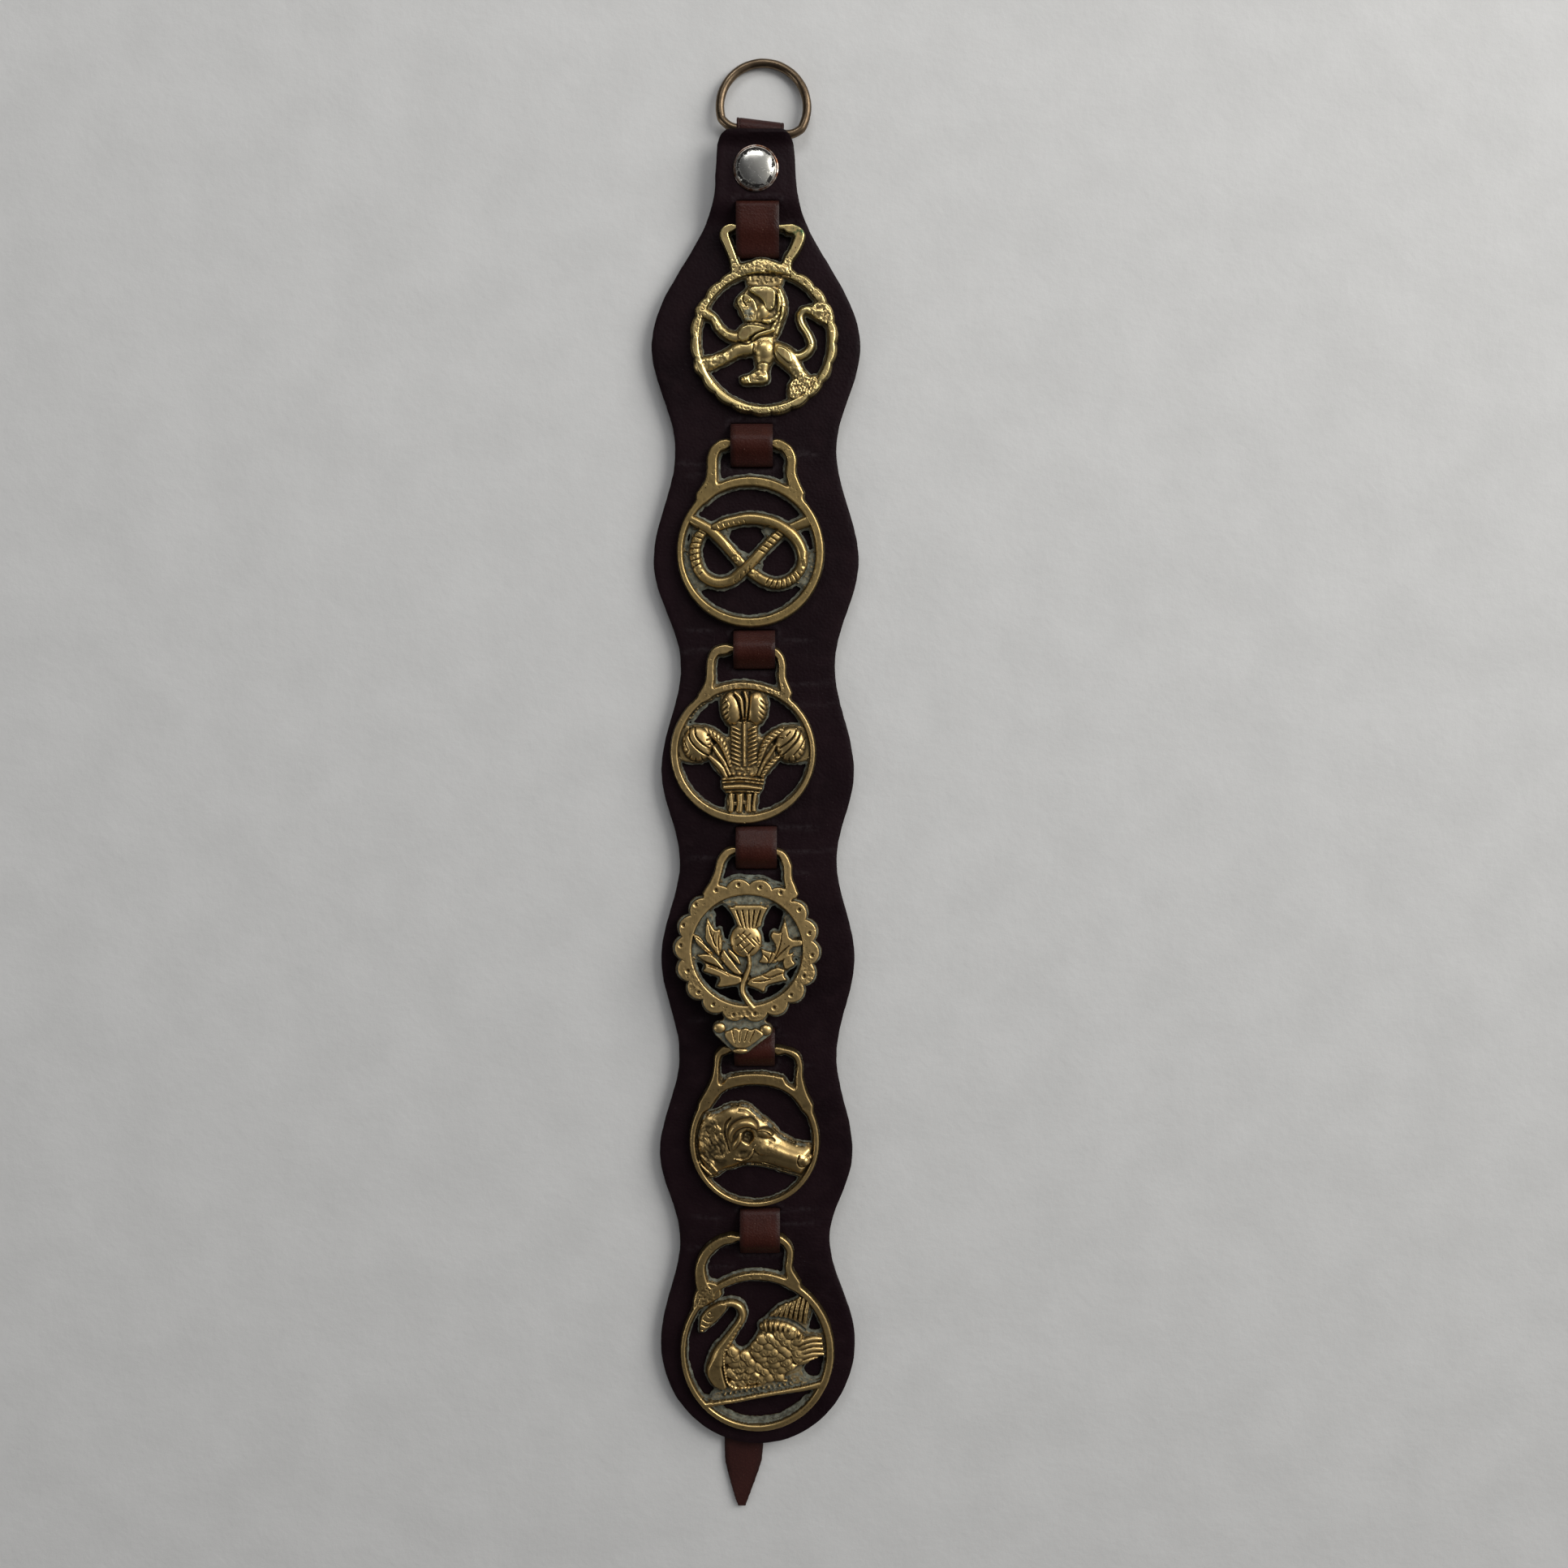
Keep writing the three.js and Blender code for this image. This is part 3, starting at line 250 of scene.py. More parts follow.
# ------------------------------------------------------------------ casting kit
class Cast:
    """The relief of one casting: S is the distance inside its outline, H its height."""

    def __init__(self, x0, x1, y0, y1, seed, g=0.25, wall=0.85):
        self.g, self.seed, self.wall = g, seed, wall
        self.x, self.y = np.arange(x0, x1 + g, g), np.arange(y0, y1 + g, g)
        self.X, self.Y = np.meshgrid(self.x, self.y)
        self.S = np.full(self.X.shape, -9.0)
        self.H = np.zeros_like(self.X)
        self.rough = np.zeros_like(self.X)      # how rough the cast skin is
        self.grime = np.zeros_like(self.X)      # pale deposit
        self.dull = np.zeros_like(self.X)       # brown tarnish

    def lay(self, d, z, k=0.25, sil=True, lean=2.5):
        zz = np.where(d >= 0, z, self.wall + d * lean)
        self.H = smax(self.H, zz, k)
        if sil:
            self.S = smax(self.S, d, 0.8)

    def flat(self, d, h, b=0.8, k=0.25, sil=True, crown=0.0):
        t = np.clip(d / b, 0, 1)
        z = self.wall + (h - self.wall) * (1 - (1 - t) ** 1.6) + crown * np.clip((d - b), 0, 2)
        self.lay(d, z, k, sil)

    def path(self, pts, w, h, n=9, closed=False):
        m = len(pts)
        W = w if isinstance(w, (list, tuple)) else [w] * m
        Z = h if isinstance(h, (list, tuple)) else [h] * m
        L = curve([(p[0], p[1], W[i], Z[i]) for i, p in enumerate(pts)], n, closed)
        if closed:
            L = np.vstack([L, L[:1]])
        D = np.full(self.X.shape, -9.0)
        Hh, U, V, Wd = (np.zeros_like(self.X) for _ in range(4))
        s = 0.0
        for i in range(len(L) - 1):
            ax, ay, aw, ah = L[i]
            bx, by, bw, bh = L[i + 1]
            ln = math.hypot(bx - ax, by - ay)
            if ln < 1e-6:
                continue
            r = max(aw, bw) + 1.8
            i0, i1 = np.searchsorted(self.x, [min(ax, bx) - r, max(ax, bx) + r])
            j0, j1 = np.searchsorted(self.y, [min(ay, by) - r, max(ay, by) + r])
            if i0 == i1 or j0 == j1:
                s += ln
                continue
            X, Y = self.X[j0:j1, i0:i1], self.Y[j0:j1, i0:i1]
            ux, uy = (bx - ax) / ln, (by - ay) / ln
            q = (X - ax) * ux + (Y - ay) * uy
            v = -(X - ax) * uy + (Y - ay) * ux
            t = np.clip(q / ln, 0, 1)
            over = np.abs(q - t * ln)
            if not closed and (i == 0 or i == len(L) - 2):
                over = np.where(((q < 0) & (i == 0)) | ((q > ln) & (i == len(L) - 2)), over * 2.6, over)
            wd = aw + (bw - aw) * t
            d = wd - np.hypot(v, over)
            sub = D[j0:j1, i0:i1]
            m_ = d > sub
            sub[m_] = d[m_]
            Hh[j0:j1, i0:i1][m_] = (ah + (bh - ah) * t)[m_]
            U[j0:j1, i0:i1][m_] = (s + t * ln)[m_]
            V[j0:j1, i0:i1][m_] = v[m_]
            Wd[j0:j1, i0:i1][m_] = wd[m_]
            s += ln
        return D, Hh, U, V, np.maximum(Wd, 0.1), s

    def bar(self, pts, w, h, flat=False, b=0.8, k=0.25, sil=True, mark=None, closed=False, square=2.5):
        D, Hh, U, V, W, s = self.path(pts, w, h, closed=closed)
        if flat:
            t = np.clip(D / b, 0, 1)
            z = self.wall + (Hh - self.wall) * (1 - (1 - t) ** 1.6)
        else:
            t = np.clip(D / W, 0, 1)
            z = self.wall + (Hh - self.wall) * np.clip(1 - (1 - t) ** square, 0, 1) ** 0.6
        if mark is not None:
            z = z + mark(U, V / W, D)
        self.lay(D, z, k, sil)
        return D

    def outline(self, pts, soft=2):
        P = np.array(pts, float)
        for _ in range(soft):                       # round the corners a little
            Q = np.roll(P, -1, 0)
            P = np.stack([P * 0.8 + Q * 0.2, P * 0.2 + Q * 0.8], 1).reshape(-1, 2)
        X, Y = self.X, self.Y
        i0, i1 = np.searchsorted(self.x, [P[:, 0].min() - 1.8, P[:, 0].max() + 1.8])
        j0, j1 = np.searchsorted(self.y, [P[:, 1].min() - 1.8, P[:, 1].max() + 1.8])
        X, Y = X[j0:j1, i0:i1], Y[j0:j1, i0:i1]
        best = np.full(X.shape, 1e9)
        inside = np.zeros(X.shape, bool)
        n = len(P)
        for i in range(n):
            ax, ay = P[i]
            bx, by = P[(i + 1) % n]
            ex, ey = bx - ax, by - ay
            l2 = ex * ex + ey * ey
            if l2 < 1e-12:
                continue
            t = np.clip(((X - ax) * ex + (Y - ay) * ey) / l2, 0, 1)
            best = np.minimum(best, (X - ax - t * ex) ** 2 + (Y - ay - t * ey) ** 2)
            c = ((ay > Y) != (by > Y)) & (X < (bx - ax) * (Y - ay) / (by - ay + 1e-12) + ax)
            inside ^= c
        D = np.full(self.X.shape, -9.0)
        D[j0:j1, i0:i1] = np.where(inside, 1, -1) * np.sqrt(best)
        return D

    def poly(self, pts, h, b=0.8, k=0.25, soft=2, sil=True, crown=0.0):
        D = self.outline(pts, soft)
        self.flat(D, h(self.X, self.Y) if callable(h) else h, b, k, sil, crown)
        return D

    def egg(self, cx, cy, rx, ry, h, turn=0.0, k=0.25, sil=True, p=0.5, mark=None):
        c, s = math.cos(math.radians(turn)), math.sin(math.radians(turn))
        X, Y = self.X - cx, self.Y - cy
        q = np.sqrt(((X * c + Y * s) / rx) ** 2 + ((-X * s + Y * c) / ry) ** 2)
        d = (1 - q) * min(rx, ry)
        z = self.wall + (h - self.wall) * np.clip(1 - q * q, 0, 1) ** p
        if mark is not None:
            z = z + mark(X * c + Y * s, -X * s + Y * c, d)
        self.lay(d, z, k, sil)
        return d

    def hoop(self, cx, cy, rx, ry, w, swell=0.0):
        X, Y = self.X - cx, self.Y - cy
        f = np.sqrt((X / rx) ** 2 + (Y / ry) ** 2) + 1e-9
        gr = np.hypot(X / rx ** 2, Y / ry ** 2) / f + 1e-9
        return w + swell - np.abs((f - 1) / gr)

    def stroke(self, pts, w):
        return self.path(pts, w, 1.0)[0]

    def frame(self, parts, h, b=0.8, k=1.6):
        """Ring, arms and bar joined in plan first, so that their face is one."""
        D = parts[0]
        for p in parts[1:]:
            D = smax(D, p, k)
        self.flat(D, h, b)
        return D

    def groove(self, pts, w, depth, n=7, sharp=1.0):
        D, _, _, _, W, _ = self.path(pts, w, 1.0, n)
        t = np.clip(D / W, 0, 1)
        self.H = self.H - depth * t ** sharp

    def ridge(self, pts, w, rise, n=7, mark=None):
        D, _, U, V, W, _ = self.path(pts, w, 1.0, n)
        t = np.clip(D / W, 0, 1)
        z = rise * np.sqrt(np.clip(1 - (1 - t) ** 2, 0, 1))
        if mark is not None:
            z = z * mark(U, V / W)
        self.H = self.H + z

    def dots(self, pts, r, depth, rim=0.0):
        for x, y in pts:
            q = np.hypot(self.X - x, self.Y - y) / r
            self.H = self.H - depth * np.clip(1 - q * q, 0, 1) + rim * np.exp(-((q - 1.25) / 0.35) ** 2)

    def zone(self, cx, cy, rx, ry, soft=0.35):
        q = np.sqrt(((self.X - cx) / rx) ** 2 + ((self.Y - cy) / ry) ** 2)
        return step((1 - q) / soft)

    def lumps(self, where, size, amp, seed=1):
        n = lattice(self.X, self.Y, size, self.seed * 31 + seed) + 0.5 * lattice(self.X, self.Y, size * 0.5, self.seed * 31 + seed + 7)
        self.H = self.H + where * amp * n
        self.rough = np.maximum(self.rough, where * 0.6)

    def pits(self, where, n, r=0.42, depth=0.3, seed=3):
        """n small casting pits scattered over the zone."""
        rs = np.random.RandomState(self.seed * 97 + seed)
        ok = np.argwhere((where > 0.5) & (self.S > 0.5))
        if not len(ok):
            return
        for j, i in ok[rs.randint(0, len(ok), n)]:
            rr = r * rs.uniform(0.55, 1.15)
            q = int(rr * 2 / self.g) + 1
            sl = (slice(max(j - q, 0), j + q + 1), slice(max(i - q, 0), i + q + 1))
            dd = np.hypot(self.X[sl] - self.x[i] - rs.uniform(-.1, .1), self.Y[sl] - self.y[j]) / rr
            cup = np.clip(1 - dd * dd, 0, 1)
            self.H[sl] = self.H[sl] - depth * rs.uniform(0.5, 1.2) * cup
            self.dull[sl] = np.maximum(self.dull[sl], cup)

    def finish(self, name, mat, cap=9.0, reach=0.7, out=0.0, web=2.0, pale_out=0.6, pale_in=1.0):
        g = self.g
        X, Y = self.X, self.Y
        S = self.S + 0.09 * lattice(X, Y, 1.5, self.seed + 5) + 0.05 * lattice(X, Y, 0.7, self.seed + 6)
        free = S < 0
        sea = np.zeros(S.shape, bool)
        sea[0], sea[-1], sea[:, 0], sea[:, -1] = True, True, True, True
        while True:                                  # the space outside, found from the border inwards
            grow = sea.copy()
            grow[1:] |= sea[:-1]
            grow[:-1] |= sea[1:]
            grow[:, 1:] |= sea[:, :-1]
            grow[:, :-1] |= sea[:, 1:]
            grow &= free
            if (grow == sea).all() or grow.sum() == sea.sum():
                break
            sea = grow
        hole = free & ~sea
        near, tall = hole.copy(), np.where(free, 0.0, self.H)
        for _ in range(5):
            for a in (near, tall):
                b = a.copy()
                for s0, s1 in (((slice(1, None), slice(None)), (slice(None, -1), slice(None))), ((slice(None), slice(1, None)), (slice(None), slice(None, -1)))):
                    b[s0] = np.maximum(b[s0], a[s1])
                    b[s1] = np.maximum(b[s1], a[s0])
                a[...] = b
        # a sloping foot of cast skin and deposit runs into every opening
        foot = hole | (near & ~free)
        lift = np.where(foot, reach + 0.16 * lattice(X, Y, 0.9, self.seed + 15) + 0.12 * lattice(X, Y, 2.6, self.seed + 16), out)
        S1 = S + lift
        rise = np.clip(0.5 * (tall - 0.75), 0.1, 1.1)
        skirt = 0.75 + rise * np.clip(S1 / (reach + 0.05), 0, 1)
        edge = self.wall + 0.14 * lattice(X, Y, 2.2, self.seed + 8)
        skin = 0.02 * lattice(X, Y, 1.1, self.seed + 11) + 0.05 * lattice(X, Y, 4.5, self.seed + 12)
        H = self.H + skin * (1 + 1.5 * self.rough) + self.rough * 0.06 * lattice(X, Y, 0.55, self.seed + 13)
        H = np.where((S1 > 0) & (S < 0.4), smax(H, skirt, 0.35), H)
        H = np.minimum(H, edge + 3.4 * np.maximum(S1, 0) + 0.02)
        H = np.clip(H, 0.55, cap)
        # hollows, walls and edges, found from the shape itself: tarnish for the hollows and creases, painted shade for
        # the steep walls and outline sides, painted highlight for the raised edges
        wide, close = blur(H * (S1 > 0), 6), blur(H, 2)
        area = np.maximum(blur((S1 > 0).astype(float), 6), 0.05)
        hollow = np.clip((wide / area - H - 0.15) / 0.9, 0, 1)
        crease = np.clip((close - H) / 0.16, 0, 1)
        # painted highlight: the raised edges of the faces are marked to be painted a brighter brass
        painted_edge_highlight = np.clip((H - close) / 0.2, 0, 1) * (H > 2.6)
        gy, gx = np.gradient(H, g)
        # painted shade: the steep walls are marked to be painted dark
        steep = np.clip((np.hypot(gx, gy) - 1.0) / 1.2, 0, 1) * (H < self.H.max() + 1)
        foot_line = np.clip((0.45 - S1) / 0.22, 0, 1) * np.where(foot, pale_in, pale_out * np.clip(0.5 + lattice(X, Y, 5.0, self.seed + 17), 0, 1))
        low = np.clip((web - H) / 0.4, 0, 1) * np.where(S1 > 0.3, 0.85, 0.0)
        pale = np.clip(np.maximum(np.maximum(self.grime, foot_line), low), 0, 1)
        # painted shade on the low sides of the outline wall; the darkening mask below joins real tarnish in hollows,
        # creases and pits with this painted shade on walls and sides
        side = np.clip((0.5 - S) / 0.3, 0, 1) * (H < 2.7)
        dark = np.clip(np.maximum.reduce([hollow * 0.8, crease * 0.8, steep * 0.85, side * 0.9, self.dull]), 0, 1)
        extra = {"grime": pale, "tarnish_and_shade": dark, "painted_edge_highlight": painted_edge_highlight, "coarse": self.rough}
        P, tri, quad, vals = relief(X, Y, S1, H, np.zeros_like(H), np.maximum(edge, 0.55), extra, g)
        if name == "thistle":
            d = PITCH[3][1] - SEAT[name][1]
            yy, zz = P[:, 1] * math.cos(TILT) + P[:, 2] * math.sin(TILT), -P[:, 1] * math.sin(TILT) + P[:, 2] * math.cos(TILT)
            P[:, 1] = yy + d - d * math.cos(TILT)
            P[:, 2] = zz + 0.04 + d * math.sin(TILT)
        P = P + np.array([SEAT[name][0], SEAT[name][1], BRASS_Z])
        return build("brass_%s_cast" % name, P, [tri, quad], vals, mat, "brass_" + name, 72)


def twist(spans, pitch=1.5, depth=0.55, lean=0.8, sharp=9):
    """Rope lay: slanting notches over the given stretches of a stroke."""
    def mark(u, v, d):
        on = np.zeros_like(u)
        for a, b in spans:
            on = np.maximum(on, step((u - a) / 0.6) * step((b - u) / 0.6))
        c = 0.5 + 0.5 * np.cos(2 * np.pi * (u / pitch + v * lean))
        return -depth * on * c ** sharp
    return mark


# ------------------------------------------------------------------ the brasses
def lion(mat):
    c = Cast(-29.5, 29.5, -28.5, 42.6, 11)
    th, r = np.arctan2(c.Y - 1, c.X), np.hypot(c.X, c.Y - 1)
    wob = 25.9 + 0.12 * lattice(th * 9, r * 0, 2.3, 5) + 0.75 * (np.abs(np.cos(11 * (th - 0.1))) ** 0.7 - 0.42) - 0.2 * step((th + 1.2) / 0.5) * step((0.6 - th) / 0.4)
    c.flat(np.minimum(wob + 0.42 - r, r - 22.9), 1.9, 0.5)                 # lower flange
    arms = [c.stroke([[-9.6, 24.5], [-10.8, 28.6], [-12.6, 33.4], [-14.0, 37.0], [-13.4, 39.0], [-11.2, 39.9]], [2.2, 1.75, 1.7, 1.9, 1.8, 1.5]),
            c.stroke([[-12.2, 39.6], [-9, 39.9], [6, 39.9], [10, 39.8]], [1.5, 1.2, 1.2, 1.4]),
            c.stroke([[8.2, 39.3], [11.2, 38.8], [12.6, 36.7], [10.9, 32.4], [8.6, 28.6], [7.6, 25]], [1.6, 2.0, 2.1, 1.95, 1.8, 2.2]),
            c.stroke([[-8, 25.6], [-4, 26.3], [-1, 26.8], [3, 26.2], [7, 25.4]], [1.9, 2.2, 2.6, 2.2, 1.9])]
    c.frame([np.minimum(wob - r, r - 22.9)] + arms, 3.1, 0.7, k=1.0)
    c.ridge([[-8, 25.2], [-4, 26.0], [-1, 26.6], [3, 26.0], [8, 25.0]], [1.4, 1.9, 2.3, 1.9, 1.2], 0.45)
    c.ridge([[-24.4, 3], [-24.2, -4], [-21.6, -11.4], [-16.8, -17.6], [-10.4, -21.8], [-2, -23.6], [7, -22.6], [15, -18.6], [20.6, -12.4], [23.8, -4.6], [24.3, 3.6]], 1.1, 0.28)
    c.poly([[-6.8, 24.2], [-6, 19], [6, 19], [7.2, 23.4]], 2.3)
    # head and mane
    c.poly([[-5.6, 20], [-7.2, 17.8], [-10.9, 14.4], [-8.4, 10.4], [-6.3, 7], [-9, 5.5], [-9, 2], [3.8, 0.4], [5.2, 4.2], [7.9, 9.3], [7.9, 15.2], [5.4, 20.3]], 2.6, 0.9)
    c.bar([[5.2, 18.4], [6.4, 15], [6.5, 11.0], [5.2, 7.2], [4.0, 3.2]], [0.9, 1.3, 1.5, 1.5, 1.2], 3.2)
    c.poly([[-10.3, 14.0], [-8.5, 10.8], [-6.9, 6.9], [-2.7, 6.6], [-1.8, 11.1], [-2.9, 15], [-6.4, 17.6], [-9.0, 16.4]], lambda X, Y: 3.4 + 0.07 * (Y - 12), 0.8)
    c.egg(-5.4, 14.5, 1.5, 1.0, 4.5, 20, sil=False)
    c.egg(-8.3, 14.8, 1.7, 1.5, 4.1, -20, sil=False)
    c.egg(-4.7, 10.4, 1.4, 2.4, 3.8, 10, sil=False)
    c.poly([[-6.1, 17.8], [-4.5, 19.7], [2.2, 19.7], [4.5, 17.7], [4.4, 14.6], [4.1, 12.0], [2.7, 10.6], [1.2, 10.5], [0.1, 11.8], [-0.5, 13.6], [-1.7, 15.0], [-3.2, 15.9], [-4.9, 17.0]],
           lambda X, Y: 5.0 - 0.14 * np.abs(Y - 17.4) - 0.05 * np.abs(X - 1), 0.75, soft=1, sil=False)
    c.egg(-0.4, 11.0, 2.9, 3.7, 4.0, -20, k=1.0, sil=False, p=0.5)
    for pts, w in (([[4.9, 16.8], [5.5, 13.8], [5.0, 10.8]], 1.0), ([[5.3, 10.2], [3.6, 8.2], [1.4, 7.2], [-0.6, 7.5]], 1.1), ([[4.6, 7.4], [3.3, 5.6], [2.6, 4.2]], 1.0), ([[6.6, 12.4], [6.4, 9.6], [5.4, 7.0]], 0.8)):
        c.bar(pts, [w * 0.8] + [w] * (len(pts) - 2) + [w * 0.7], 4.0, sil=False)
    # shoulder, forelegs, body, hind leg, tail
    c.bar([[-8.4, 1.8], [-12.3, 2.4], [-16, 5.2], [-18, 8.4], [-20.4, 9.8], [-22.8, 11.4]], [2.4, 1.8, 1.7, 1.6, 1.9, 2.3], [3.5, 3.4, 3.5, 3.5, 3.5, 3.2])
    c.bar([[-3, -1.4], [-6, -1.8], [-9.5, -2.6], [-13, -4.5], [-18, -6.6], [-23, -8]], [2.6, 2.8, 2.6, 2.4, 2.6, 3.0], [3.8, 3.9, 3.7, 3.4, 3.3, 3.1])
    c.poly([[-9.9, 3.2], [-8.5, 5.6], [-5.2, 6.6], [-0.2, 5.9], [2.2, 4.8], [-0.8, 3.5], [-3.9, 2.2], [-5.6, 0.2], [-7.8, -0.4], [-9.7, 1.2]],
           lambda X, Y: 4.8 - 0.07 * np.abs(X + 4.5) + 0.06 * (Y - 3), 0.9, soft=1)
    c.bar([[-4.4, 0.8], [-2.2, 2.6], [0.8, 3.6], [3.6, 4.4]], [0.8, 1.0, 1.0, 0.9], 4.1, sil=False)
    c.bar([[-1.0, 2.0], [0.2, -2.6], [-0.3, -6.6], [-0.5, -9.6]], [4.2, 4.3, 2.8, 2.2], [3.4, 4.1, 3.7, 3.4])
    c.egg(0.1, -2.5, 3.7, 3.9, 4.8, 0, sil=False, p=0.32)
    c.poly([[-8.6, -11.5], [-6.2, -11.1], [-4.4, -10.3], [-2.4, -9.0], [1.4, -9.4], [2.0, -12.2], [1.7, -13.8], [-0.4, -14.6], [-7.4, -14.8], [-8.9, -13.4]], 3.3, 0.9)
    c.egg(-1.0, -12.0, 2.5, 1.7, 4.0, 0, sil=False, p=0.4)
    c.egg(-6.7, -12.8, 1.6, 1.5, 3.9, 0, sil=False)
    c.bar([[2.4, -2.0], [5.4, -3.2], [8.2, -5], [10.6, -8], [12.6, -11], [14.8, -13.4]], [2.6, 3.4, 3.6, 2.9, 2.5, 2.4], [3.5, 4.1, 4.2, 3.8, 3.4, 3.0])
    c.poly([[3.9, -0.7], [7.4, -1.4], [9.9, -3.5], [10.8, -7.4], [8.6, -8.0], [5.6, -5.4], [3.8, -3.3]], lambda X, Y: 4.85 - 0.06 * np.abs(X - 7), 0.9, soft=1, sil=False)
    c.poly([[10.2, -12.0], [8.4, -14.8], [8.6, -19.8], [13, -20.4], [20, -13.6], [18.6, -11], [15, -12.0]], 2.8)
    c.bar([[10.2, -4.9], [13, -4.6], [15.6, -3], [16.8, -0.4], [15.7, 2.8], [13.4, 6.4], [12.8, 9.2], [14.2, 11.2], [16.8, 11.3], [20.5, 10.2]],
          [1.8, 1.6, 1.5, 1.45, 1.35, 1.35, 1.4, 1.5, 1.7, 2.0], [3.5, 3.4, 3.4, 3.4, 3.4, 3.3, 3.3, 3.5, 3.5, 3.2])
    c.poly([[15.2, 11], [16.5, 9.3], [19.5, 7.4], [23, 5.4], [23.2, 10], [19.4, 15.2], [17, 13.2]], 3.0)
    # carving
    c.groove([[-9.6, 0.4], [-6.2, -0.6], [-3.4, 1.0], [-0.4, 2.1], [3.2, 2.4]], 0.5, 0.8)
    c.groove([[-6.4, 6.9], [-3, 7.2], [1, 6.5]], 0.4, 0.6)
    c.groove([[3.5, 0.2], [3.5, -4.0], [5.2, -7.4], [7.2, -10.0]], 0.5, 0.9)
    c.groove([[-3.8, -0.6], [-3.9, -4.2], [-2.6, -7.4]], 0.45, 0.7)
    c.groove([[-2.9, -7.4], [-0.4, -7.0], [2.0, -7.6]], 0.4, 0.5)
    for k in range(3):
        c.groove([[-7.9 + k * 1.3, -11.5], [-7.5 + k * 1.3, -13.8]], 0.3, 0.5)
    c.groove([[-7.4, 16.2], [-7.4, 14.4], [-6.2, 12.6]], 0.4, 0.8)
    c.groove([[0.2, 24.7], [3.6, 24.1], [7.4, 23.4], [9.6, 22.9]], 0.5, 0.9)
    for i in range(9):
        for j in range(5):
            x, y = 9.4 + i * 1.15 + (j % 2) * 0.5, -19.2 + j * 1.5 + i * 0.25
            c.groove([[x, y], [x + 0.5, y + 1.0]], 0.28, 0.35, n=3)
    mane = np.maximum(c.zone(5.4, 11, 3.0, 8), c.zone(0, 6.8, 6, 1.6))
    c.lumps(mane, 0.95, 0.16, 2)
    c.lumps(c.zone(-6.6, 10, 3.6, 4.6), 1.0, 0.26, 3)
    c.lumps(c.zone(-16, 5, 7, 6), 1.1, 0.16, 4)
    c.lumps(np.maximum(c.zone(-17, -6, 8, 4), c.zone(19.5, 10, 5, 6)), 1.0, 0.22, 5)
    c.lumps(c.zone(14.5, -15, 6.5, 5), 0.8, 0.2, 6)
    c.lumps(c.zone(0, 22.6, 7, 2.6), 1.1, 0.35, 7)
    c.lumps(c.zone(-1, 26.4, 8, 2.4), 0.9, 0.16, 9)
    c.lumps(np.maximum(c.zone(-4, -10.8, 5, 3.4), c.zone(12, -10, 4, 4)), 1.0, 0.14, 8)
    top = ((r > 22) & (th > 0.2) & (th < 3.2) & (c.Y < 30)).astype(float)
    c.rough = np.maximum(c.rough, top * 0.45)
    c.pits(top, 260, 0.34, 0.3, 1)
    c.pits((r < 22).astype(float), 80, 0.3, 0.26, 2)
    c.pits(((r > 22) & (c.Y < 30)).astype(float), 80, 0.28, 0.24, 3)
    c.pits(c.zone(0, -24, 16, 4), 70, 0.3, 0.28, 4)
    c.grime = np.maximum(c.grime, 0.85 * c.zone(-5.6, 9.8, 2.4, 3.4) * (lattice(c.X, c.Y, 0.9, 3) > -0.2))
    c.dull = np.maximum(c.dull, 0.6 * c.zone(0, 22.4, 6.4, 2.4))
    return c.finish("lion", mat, reach=0.6, pale_in=0.85, web=1.7)


